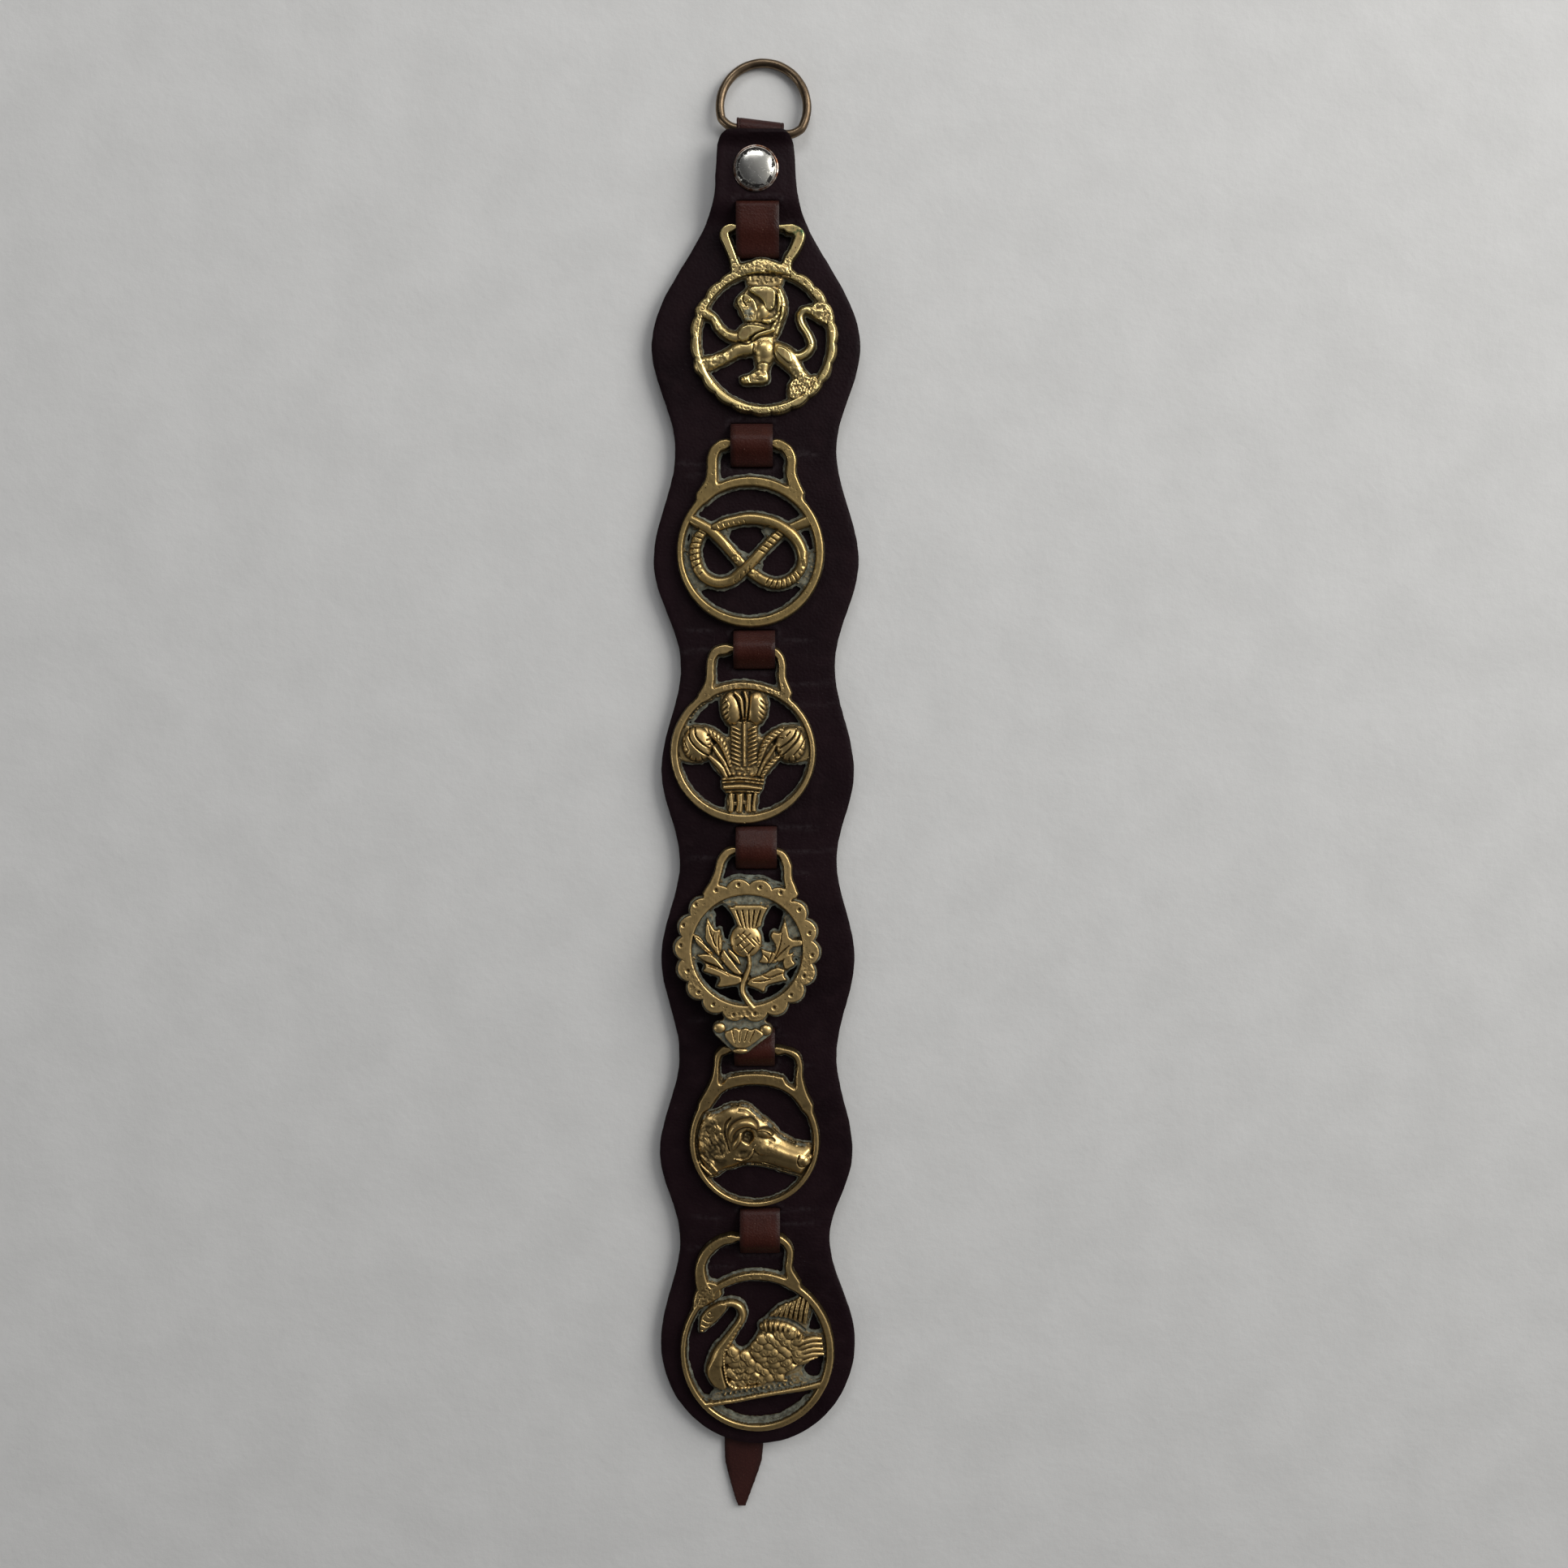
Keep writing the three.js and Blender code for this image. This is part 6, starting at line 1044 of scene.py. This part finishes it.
def lace(mat):
    P = lace_points()
    seg = np.hypot(np.diff(P[:, 0]), np.diff(P[:, 1]))
    path = [P[0]]
    for i in range(1, len(P) - 1):
        l0, l1 = seg[i - 1], seg[i]
        r = min(0.46 * l0, 0.46 * l1, 1.5)
        a, b = P[i] + (P[i - 1] - P[i]) * r / l0, P[i] + (P[i + 1] - P[i]) * r / l1
        gap = math.hypot(a[0] - path[-1][0], a[1] - path[-1][1])
        for k in range(1, int(gap / 1.3) + 1):
            path.append(path[-1] + (a - path[-1]) * (1.0 / (int(gap / 1.3) + 2 - k)))
        for t in (0, 0.25, 0.5, 0.75, 1.0):
            path.append(a * (1 - t) ** 2 + P[i] * 2 * t * (1 - t) + b * t * t)
    for k in range(1, 7):
        path.append(path[-1] + (P[-1] - path[-1]) / (7 - k))
    Q = np.array(path)
    keep = np.concatenate([[True], np.hypot(np.diff(Q[:, 0]), np.diff(Q[:, 1])) > 0.04])
    Q = Q[keep]
    d = np.gradient(Q[:, :2], axis=0)
    d /= np.hypot(d[:, 0], d[:, 1])[:, None]
    nrm = np.stack([-d[:, 1], d[:, 0]], 1)
    s = np.concatenate([[0], np.cumsum(np.hypot(np.diff(Q[:, 0]), np.diff(Q[:, 1])))])
    cols = [0.0, 0.1, 0.3, 0.6, 0.85, 1.05, 1.25, 1.5, 2.2, 3.2, 4.6, 6.2]
    pts, edge_v, height_shade_v, crease_v = [], [], [], []
    n = 0
    for (y, z, x, w, sl), (ny, nz), u in zip(Q, nrm, s):
        tail = step((-246 - y) / 8) if z < 1.6 else 0.0
        wl = w - 0.05 - 0.05 * math.sin(u * 1.9) ** 2 - tail * 0.14 * abs(math.sin(u * 2.7))
        wr = w - 0.05 - 0.05 * math.sin(u * 1.3 + 1) ** 2 - tail * 0.14 * abs(math.sin(u * 3.1 + 1))
        ring, ev, cv = [], [], []
        f = min(1.0, min(wl, wr) / 6.6)
        top = [(-wl + c * f, c) for c in cols] + [(0.0, 7.0)] + [(wr - c * f, c) for c in cols[::-1]]
        for px, c in top:
            off = LACE_T / 2 - 0.30 * max(0.0, 1 - c / 0.42) ** 2 - 0.13 * math.exp(-((c - 1.05) / 0.2) ** 2) - 0.02
            ring.append((px, off))
            ev.append(max(0.0, 1 - c / 0.8))
            cv.append(math.exp(-((c - 1.05) / 0.26) ** 2))
        for px, c in ([(wr, 0)] + [(wr - c * f, c) for c in (0.3, 2.2, 5.0)] + [(0, 7)] + [(-wl + c * f, c) for c in (5.0, 2.2, 0.3)] + [(-wl, 0)]):
            off = -(LACE_T / 2 - 0.25 * max(0.0, 1 - c / 0.42) ** 2 - 0.02)
            ring.append((px, off))
            ev.append(max(0.0, 1 - c / 0.8))
            cv.append(0.0)
        n = len(ring)
        for px, off in ring:
            pts.append((x + px, y + ny * off + sl * px, z + nz * off))
        edge_v += ev
        crease_v += cv
        # painted light and shade: a value keyed to the lace's height above the floor, used to tint its colour
        height_shade_v += [float(step((z - 4.5) / 5.0))] * n
    m = len(Q)
    ii = np.arange(m - 1)[:, None] * n
    jj = np.arange(n)[None, :]
    kk = (jj + 1) % n
    quad = np.stack([ii + jj, ii + kk, ii + n + kk, ii + n + jj], -1).reshape(-1, 4)
    cap = [[0, k + 1, k] for k in range(1, n - 1)] + [[(m - 1) * n, (m - 1) * n + k, (m - 1) * n + k + 1] for k in range(1, n - 1)]
    # turn the faces outwards
    V = np.array(pts)
    a, b, c4, e = (V[quad[:, k]] for k in range(4))
    vol = np.einsum("ij,ij->i", a, np.cross(b, c4)).sum() + np.einsum("ij,ij->i", a, np.cross(c4, e)).sum()
    cap = np.array(cap)
    if vol < 0:
        quad = quad[:, ::-1]
    else:
        cap = cap[:, ::-1]
    return build("lace_strip", V, [quad, cap], {"edge": edge_v, "crease": crease_v, "height_shade": height_shade_v}, mat, "lace", 40)


# ------------------------------------------------------------------ ring and stud
def tube(name, path, radius, mat, node, sides=28, wob=None):
    P = np.array(path)
    m = len(P)
    t = np.roll(P, -1, 0) - np.roll(P, 1, 0)
    t /= np.linalg.norm(t, axis=1)[:, None]
    drop = math.asin((LOOP_Z - WIRE_R) / (RING_BAR + RING_R))
    up = np.array([0, math.sin(drop), math.cos(drop)])
    side = np.cross(t, up)
    side /= np.linalg.norm(side, axis=1)[:, None]
    nor = np.cross(side, t)
    a = np.arange(sides) * 2 * math.pi / sides
    R = np.full(m, radius) if wob is None else radius + wob
    V = P[:, None, :] + R[:, None, None] * (side[:, None, :] * np.cos(a)[None, :, None] + nor[:, None, :] * np.sin(a)[None, :, None])
    ii = np.arange(m)[:, None] * sides
    i2 = ((np.arange(m) + 1) % m)[:, None] * sides
    jj = np.arange(sides)[None, :]
    kk = (jj + 1) % sides
    quad = np.stack([ii + jj, i2 + jj, i2 + kk, ii + kk], -1).reshape(-1, 4)
    V = V.reshape(-1, 3)
    q = [V[quad[:, k]] for k in range(4)]
    if np.einsum("ij,ij->i", q[0] - V.mean(0), np.cross(q[1] - q[0], q[2] - q[0])).sum() < 0:
        quad = quad[:, ::-1]
    return build(name, V, [quad], {"wear": np.repeat(np.sin(np.arange(m) * 0.3) * 0.5 + 0.5, sides)}, mat, node, 60)


def d_ring(mat):
    a0 = -math.asin(RING_BAR / RING_R) + 0.2
    flat = []
    for i in range(121):
        a = a0 + (math.pi - 2 * a0) * i / 120
        flat.append((RING_R * math.cos(a), RING_R * math.sin(a)))
    x0, y0 = flat[-1]
    for k in range(1, 9):                             # round the lower corners into the bar
        t = k / 9.0
        flat.append(((1 - t) ** 2 * x0 + 2 * t * (1 - t) * -11.6 + t * t * -8.8, (1 - t) ** 2 * y0 + 2 * t * (1 - t) * -RING_BAR + t * t * -RING_BAR))
    flat += [(-8.8 + 17.6 * k / 24.0, -RING_BAR) for k in range(25)]
    x0, y0 = flat[0]
    for k in range(1, 9):
        t = k / 9.0
        flat.append(((1 - t) ** 2 * 8.8 + 2 * t * (1 - t) * 11.6 + t * t * x0, (1 - t) ** 2 * -RING_BAR + 2 * t * (1 - t) * -RING_BAR + t * t * y0))
    drop = math.asin((LOOP_Z - WIRE_R) / (RING_BAR + RING_R))
    c, s, cy, sy = math.cos(drop), math.sin(drop), math.cos(RING_YAW), math.sin(RING_YAW)
    out = []
    for x, y in flat:
        d = y + RING_BAR
        out.append((1.75 + x * cy - d * c * sy, LOOP_Y + x * sy + d * c * cy, LOOP_Z - d * s))
    n = len(out)
    wob = 0.02 * np.sin(np.arange(n) * 0.5) - 0.08
    return tube("d_ring_wire", out, WIRE_R - 0.02, mat, "d_ring", 28, wob)


def stud(mat):
    z = float(hide_z(STUD_Y)) + HIDE_T + GAP
    prof = [(0, 0.02), (BACK_R - 0.2, 0.02), (BACK_R, 0.15), (BACK_R, 0.4), (BACK_R - 0.4, 0.68), (SHANK_R + 0.2, 0.7), (SHANK_R, 0.8),
            (SHANK_R, z - 0.1), (SHANK_R + 0.2, z + 0.02), (CAP_R - 0.8, z + 0.02), (CAP_R - 0.2, z + 0.08), (CAP_R - 0.02, z + 0.26), (CAP_R - 0.05, z + 0.44),
            (CAP_R - 0.3, z + 0.58), (CAP_R - 0.55, z + 0.62), (CAP_R - 0.78, z + 0.58), (CAP_R - 0.95, z + 0.66)]
    for k in range(1, 17):
        a = math.radians(90 * k / 16.0)
        prof.append((7.05 * math.cos(a) + 0.0, z + 0.66 + (CAP_RISE - 0.68) * math.sin(a) ** 0.9))
    n, V, fl, cu = 96, [], [], []
    rs = np.random.RandomState(4)
    for r, h in prof[:-1]:
        r = max(r, 0.02)
        for k in range(n):
            a = 2 * math.pi * k / n
            top = h > z + 0.6
            dent = 0.025 * math.sin(3 * a + 0.4) * step(r / 5.0) * (1 if top else 0)
            V.append((STUD_X + r * math.cos(a), STUD_Y + r * math.sin(a), h - abs(dent)))
            fl.append(float(top) * math.exp(-((r - 6.3) / 0.9) ** 2))
            cu.append(float(z - 0.1 < h <= z + 0.64))
    V.append((STUD_X, STUD_Y, prof[-1][1]))
    fl.append(0.0)
    cu.append(0.0)
    m = len(prof) - 1
    quad = []
    for i in range(m - 1):
        for k in range(n):
            k2 = (k + 1) % n
            quad.append((i * n + k, i * n + k2, (i + 1) * n + k2, (i + 1) * n + k))
    e = (m - 1) * n
    tri = [(e + k, e + (k + 1) % n, m * n) for k in range(n)]
    V = np.array(V)
    V = np.vstack([V, [[STUD_X, STUD_Y, 0.02]]])
    fl.append(0.0)
    cu.append(0.0)
    tri += [((k + 1) % n, k, len(V) - 1) for k in range(n)]
    return build("stud_cap", V, [np.array(quad), np.array(tri)], {"flecks": fl, "copper": cu}, mat, "stud", 40)


# ------------------------------------------------------------------ materials
class Paint:
    """A procedural material: short names for the few shader nodes used here."""

    def __init__(self, name, rough=0.5, metal=0.0):
        self.m = bpy.data.materials.new(name)
        self.m.use_nodes = True
        self.t = self.m.node_tree
        self.t.nodes.clear()
        self.out = self.t.nodes.new("ShaderNodeOutputMaterial")
        self.b = self.t.nodes.new("ShaderNodeBsdfPrincipled")
        self.t.links.new(self.b.outputs[0], self.out.inputs[0])
        self.b.inputs["Roughness"].default_value = rough
        self.b.inputs["Metallic"].default_value = metal
        self.co = self.t.nodes.new("ShaderNodeTexCoord").outputs["Object"]
        self.normal = None

    def put(self, socket, value):
        if hasattr(value, "is_output"):
            self.t.links.new(value, socket)
        elif isinstance(value, (tuple, list)) and len(value) == 3 and socket.type == "RGBA":
            socket.default_value = (*value, 1)
        else:
            socket.default_value = value

    def attr(self, name):
        n = self.t.nodes.new("ShaderNodeAttribute")
        n.attribute_name = name
        return n.outputs["Fac"]

    def move(self, scale, turn=(0, 0, 0), vec=None):
        n = self.t.nodes.new("ShaderNodeMapping")
        n.inputs["Scale"].default_value = scale
        n.inputs["Rotation"].default_value = turn
        self.put(n.inputs["Vector"], vec or self.co)
        return n.outputs[0]

    def noise(self, scale, detail=3.0, rough=0.55, vec=None, warp=0.0):
        n = self.t.nodes.new("ShaderNodeTexNoise")
        n.inputs["Scale"].default_value = scale
        n.inputs["Detail"].default_value = detail
        n.inputs["Roughness"].default_value = rough
        n.inputs["Distortion"].default_value = warp
        self.put(n.inputs["Vector"], vec or self.co)
        return n.outputs["Fac"]

    def cells(self, scale, feature="F1", vec=None, random=1.0):
        n = self.t.nodes.new("ShaderNodeTexVoronoi")
        n.feature = feature
        n.inputs["Scale"].default_value = scale
        n.inputs["Randomness"].default_value = random
        self.put(n.inputs["Vector"], vec or self.co)
        return n.outputs["Distance"]

    def math(self, op, a, b=0.0, clamp=False):
        n = self.t.nodes.new("ShaderNodeMath")
        n.operation, n.use_clamp = op, clamp
        self.put(n.inputs[0], a)
        self.put(n.inputs[1], b)
        return n.outputs[0]

    def span(self, v, a, b, c=0.0, d=1.0):
        n = self.t.nodes.new("ShaderNodeMapRange")
        for k, x in zip(("Value", "From Min", "From Max", "To Min", "To Max"), (v, a, b, c, d)):
            self.put(n.inputs[k], x)
        return n.outputs[0]

    def mix(self, f, a, b):
        n = self.t.nodes.new("ShaderNodeMix")
        n.data_type = "RGBA"
        self.put(n.inputs[0], f)
        self.put(n.inputs[6], a)
        self.put(n.inputs[7], b)
        return n.outputs[2]

    def bump(self, height, dist, strength=1.0):
        n = self.t.nodes.new("ShaderNodeBump")
        n.inputs["Distance"].default_value = dist
        self.put(n.inputs["Strength"], strength)
        self.put(n.inputs["Height"], height)
        if self.normal is not None:
            self.t.links.new(self.normal, n.inputs["Normal"])
        self.normal = n.outputs[0]

    def done(self, colour=None, rough=None, metal=None):
        for key, v in (("Base Color", colour), ("Roughness", rough), ("Metallic", metal)):
            if v is not None:
                self.put(self.b.inputs[key], v)
        if self.normal is not None:
            self.t.links.new(self.normal, self.b.inputs["Normal"])
        return self.m


def brass(name, bright, worn, brown, brush=1.0, base_rough=0.27, pale=(0.20, 0.21, 0.165), spot=None):
    p = Paint(name, 0.3, 1.0)
    cloud = p.noise(70, 3)
    fine = p.noise(900, 4)
    mottle = p.noise(330, 4, 0.6)
    body = p.mix(p.span(cloud, 0.35, 0.7), bright, worn)
    body = p.mix(p.math("MULTIPLY", p.span(mottle, 0.5, 0.78), 0.45), body, brown)
    lines = p.noise(1.0, 2, 0.5, p.move((5200, 110, 900)))
    body = p.mix(p.math("MULTIPLY", p.span(lines, 0.5, 0.72), 0.30 * brush), body, tuple(0.55 * v for v in worn))
    # darkening towards brown: real tarnish in hollows, creases and pits, plus painted shade on the steep walls and the
    # outline's sides
    tarnish_and_shade_mask = p.attr("tarnish_and_shade")
    mask = p.span(p.math("ADD", tarnish_and_shade_mask, p.math("MULTIPLY", fine, 0.5)), 0.42, 1.0)
    body = p.mix(p.math("MULTIPLY", mask, 0.92), body, brown)
    specks = p.span(p.cells(650), 0.10, 0.2, 1.0, 0.0)
    gate = p.span(p.noise(120, 2), 0.44, 0.58)
    speck = p.math("MULTIPLY", specks, gate)
    body = p.mix(p.math("MULTIPLY", speck, 0.85), body, (0.02, 0.014, 0.006))
    # painted highlight: the raised edges of the faces are painted a brighter brass
    body = p.mix(p.math("MULTIPLY", p.attr("painted_edge_highlight"), 0.55), body, tuple(min(1.0, 1.25 * v) for v in bright))
    gr = p.attr("grime")
    crust = p.span(p.math("ADD", gr, p.math("MULTIPLY", p.noise(1300, 4, 0.65), 0.8)), 0.9, 1.25)
    crust = p.math("MULTIPLY", crust, 0.92)
    tint = p.mix(p.span(p.noise(500, 3), 0.35, 0.65), tuple(0.28 * v for v in pale), pale)
    back = p.attr("backside")
    body = p.mix(p.math("MULTIPLY", back, 0.75), body, brown)
    if spot:
        geo = p.t.nodes.new("ShaderNodeVectorMath")
        geo.operation = "DISTANCE"
        p.put(geo.inputs[0], p.co)
        geo.inputs[1].default_value = spot[0]
        near = p.math("MULTIPLY", p.span(geo.outputs["Value"], spot[1] * 0.35, spot[1], 1.0, 0.0), p.span(p.noise(700, 4), 0.4, 0.62))
        body = p.mix(near, body, spot[2])
    col = p.mix(crust, body, tint)
    rough = p.math("ADD", p.span(cloud, 0.3, 0.75, base_rough, base_rough + 0.14), p.math("MULTIPLY", mask, 0.22))
    rough = p.math("ADD", rough, p.math("MULTIPLY", crust, 0.5), True)
    p.bump(lines, 0.00006, 0.35 * brush)
    p.bump(fine, 0.00012, p.span(p.attr("coarse"), 0.0, 0.6, 0.10, 0.85))
    p.bump(p.noise(2200, 3), 0.00010, p.math("MULTIPLY", crust, 0.9))
    return p.done(col, rough, p.span(crust, 0.0, 0.92, 1.0, 0.05))


def hide_leather():
    p = Paint("hide_leather", 0.6)
    p.b.inputs["Specular IOR Level"].default_value = 0.09
    big, mid = p.noise(28, 4), p.noise(160, 4)
    col = p.mix(p.span(big, 0.3, 0.72), (0.0062, 0.0022, 0.0034), (0.0140, 0.0058, 0.0080))
    col = p.mix(p.math("MULTIPLY", p.span(mid, 0.5, 0.75), 0.5), col, (0.0165, 0.0072, 0.0092))
    pebble = p.cells(1150, "SMOOTH_F1")
    wrinkle = p.noise(1.0, 4, 0.6, p.move((260, 900, 300)), 0.6)
    col = p.mix(p.math("MULTIPLY", p.attr("crease"), p.span(p.noise(600, 3), 0.35, 0.6, 0.0, 0.55)), col, (0.042, 0.033, 0.036))
    scratch = p.noise(1.0, 2, 0.5, p.move((1500, 60, 500), (0, 0, 0.5), p.co))
    scratch2 = p.noise(1.0, 2, 0.5, p.move((1500, 70, 500), (0, 0, -1.1), p.co))
    sc = p.math("ADD", p.span(scratch, 0.71, 0.78), p.span(scratch2, 0.73, 0.80))
    col = p.mix(p.math("MULTIPLY", sc, 0.12), col, (0.070, 0.055, 0.058))
    fleck = p.math("MULTIPLY", p.span(p.cells(420), 0.05, 0.10, 1.0, 0.0), p.span(p.noise(60, 2), 0.52, 0.62))
    col = p.mix(p.math("MULTIPLY", fleck, 0.3), col, (0.07, 0.055, 0.055))
    fray = p.span(p.math("ADD", p.attr("fray"), p.math("MULTIPLY", p.noise(1500, 3), 0.7)), 1.0, 1.5)
    col = p.mix(fray, col, (0.012, 0.007, 0.006))
    p.bump(pebble, 0.00020, 0.55)
    p.bump(wrinkle, 0.00022, p.span(p.attr("worn"), 0.3, 0.9, 0.2, 0.8))
    p.bump(p.noise(2600, 3), 0.00004, 0.5)
    return p.done(col, p.span(mid, 0.3, 0.7, 0.48, 0.66))


def lace_leather():
    p = Paint("lace_leather", 0.42)
    p.b.inputs["Specular IOR Level"].default_value = 0.16
    big = p.noise(60, 3)
    col = p.mix(p.span(big, 0.3, 0.7), (0.0290, 0.0066, 0.0042), (0.0500, 0.0112, 0.0070))
    # painted light and shade keyed to height: the low runs and the tail are tinted a duller, greyer red than the raised
    # arches
    col = p.mix(p.math("MULTIPLY", p.span(p.attr("height_shade"), 0.2, 1.0, 1.0, 0.0), 0.55), col, (0.0340, 0.0150, 0.0150))
    grain = p.noise(1500, 4, 0.6)
    col = p.mix(p.math("MULTIPLY", p.span(grain, 0.52, 0.8), 0.35), col, (0.105, 0.042, 0.028))
    col = p.mix(p.math("MULTIPLY", p.attr("crease"), 0.7), col, (0.012, 0.0045, 0.0035))
    col = p.mix(p.math("MULTIPLY", p.attr("edge"), 0.75), col, (0.013, 0.006, 0.005))
    fleck = p.math("MULTIPLY", p.span(p.cells(520), 0.05, 0.10, 1.0, 0.0), p.span(p.noise(150, 2), 0.55, 0.62))
    col = p.mix(p.math("MULTIPLY", fleck, 0.6), col, (0.22, 0.13, 0.10))
    p.bump(p.cells(1500, "SMOOTH_F1"), 0.00014, 0.7)
    p.bump(grain, 0.00009, 0.8)
    p.bump(p.noise(1.0, 3, 0.55, p.move((900, 260, 400))), 0.00012, 0.4)
    return p.done(col, p.span(big, 0.3, 0.7, 0.34, 0.48))


def wire_metal():
    p = Paint("ring_wire", 0.32, 1.0)
    a = p.noise(150, 4)
    col = p.mix(p.span(a, 0.35, 0.65), (0.190, 0.137, 0.086), (0.105, 0.074, 0.047))
    col = p.mix(p.math("MULTIPLY", p.span(p.noise(900, 4), 0.56, 0.72), 0.6), col, (0.060, 0.042, 0.027))
    p.bump(p.noise(700, 4), 0.00005, 0.4)
    return p.done(col, p.span(a, 0.3, 0.7, 0.24, 0.38))


def nickel_metal():
    p = Paint("stud_nickel", 0.25, 1.0)
    a = p.noise(300, 4)
    col = p.mix(p.span(a, 0.35, 0.7), (0.66, 0.65, 0.60), (0.50, 0.485, 0.44))
    lip = p.attr("flecks")
    patch = p.math("ADD", p.math("MULTIPLY", lip, 0.30), p.noise(430, 5, 0.7, warp=0.6))
    dark = p.span(patch, 0.66, 0.74)
    few = p.math("MULTIPLY", p.span(p.noise(240, 5, 0.75, warp=1.2), 0.63, 0.68), 0.9)
    dark = p.math("MAXIMUM", dark, few)
    col = p.mix(dark, col, (0.012, 0.010, 0.009))
    copper = p.math("MULTIPLY", p.attr("copper"), p.span(p.noise(500, 3), 0.3, 0.6, 0.4, 1.0))
    col = p.mix(copper, col, (0.13, 0.055, 0.028))
    p.bump(p.math("MULTIPLY", dark, -1.0), 0.00006, 0.4)
    return p.done(col, p.math("ADD", p.span(a, 0.3, 0.7, 0.16, 0.27), p.math("MULTIPLY", dark, 0.4), True), p.span(dark, 0.0, 1.0, 1.0, 0.2))


# ------------------------------------------------------------------ make everything
BROWN = (0.088, 0.069, 0.040)
hide(hide_leather())
lace(lace_leather())
d_ring(wire_metal())
stud(nickel_metal())
lion(brass("brass_bright", (0.90, 0.675, 0.305), (0.68, 0.485, 0.205), BROWN, 0.7, 0.25,
           spot=((0.0152, 0.2112, 0.0085), 0.0036, (0.09, 0.19, 0.085))))
knot(brass("brass_gold", (0.56, 0.40, 0.163), (0.38, 0.264, 0.102), BROWN, 1.0, 0.29))
feathers(brass("brass_tan", (0.635, 0.453, 0.20), (0.445, 0.308, 0.13), BROWN, 0.7, 0.30))
thistle(brass("brass_brushed", (0.68, 0.480, 0.207), (0.51, 0.350, 0.147), BROWN, 1.2, 0.31, pale=(0.20, 0.22, 0.18)))
hound(brass("brass_brown", (0.58, 0.405, 0.172), (0.385, 0.265, 0.112), (0.060, 0.044, 0.024), 0.35, 0.25))
swan(brass("brass_dark", (0.61, 0.430, 0.182), (0.42, 0.290, 0.120), (0.060, 0.042, 0.021), 0.4, 0.27))

# ------------------------------------------------------------------ floor and light
me = bpy.data.meshes.new("floor")
me.from_pydata([(-4, -4, 0), (4, -4, 0), (4, 4, 0), (-4, 4, 0)], [], [(0, 1, 2, 3)])
floor = bpy.data.objects.new("floor", me)
bpy.context.scene.collection.objects.link(floor)
fp = Paint("floor_paint", 0.85)
fp.bump(fp.noise(260, 4, 0.6), 0.0004, 0.35)
me.materials.append(fp.done(fp.mix(fp.span(fp.noise(40, 4), 0.35, 0.65), (0.66, 0.66, 0.65), (0.70, 0.70, 0.69)), None))


def lamp(name, at, aim, w, h, power, colour=(1, 1, 1)):
    d = bpy.data.lights.new(name, "AREA")
    d.shape, d.size, d.size_y, d.energy, d.color = "RECTANGLE", w, h, power, colour
    o = bpy.data.objects.new(name, d)
    o.location = at
    o.rotation_euler = (Vector(aim) - Vector(at)).to_track_quat("-Z", "Y").to_euler()
    bpy.context.scene.collection.objects.link(o)


lamp("key", (1.15, 0.75, 0.95), (0, 0.05, 0), 0.8, 1.1, 17.0, (1.0, 0.985, 0.96))
lamp("top", (-0.15, 1.35, 1.1), (0, 0.1, 0), 0.9, 0.5, 5.0, (0.97, 0.98, 1.0))
lamp("left", (-1.5, -0.3, 0.8), (0, 0, 0), 0.5, 1.0, 2.5)
world = bpy.data.worlds.new("studio")
bpy.context.scene.world = world
world.use_nodes = True
wt = world.node_tree
bg = wt.nodes["Background"]
tc = wt.nodes.new("ShaderNodeTexCoord")
dot = wt.nodes.new("ShaderNodeVectorMath")
dot.operation = "DOT_PRODUCT"
wt.links.new(tc.outputs["Generated"], dot.inputs[0])
dot.inputs[1].default_value = Vector((0.80, 0.45, 0.25)).normalized()
ramp = wt.nodes.new("ShaderNodeValToRGB")
wt.links.new(dot.outputs["Value"], ramp.inputs[0])
ramp.color_ramp.elements[0].position, ramp.color_ramp.elements[0].color = 0.0, (0.10, 0.10, 0.105, 1)
ramp.color_ramp.elements[1].position, ramp.color_ramp.elements[1].color = 0.9, (0.85, 0.84, 0.82, 1)
e = ramp.color_ramp.elements.new(0.35)
e.color = (0.30, 0.30, 0.31, 1)
wt.links.new(ramp.outputs[0], bg.inputs["Color"])
bg.inputs["Strength"].default_value = 0.75
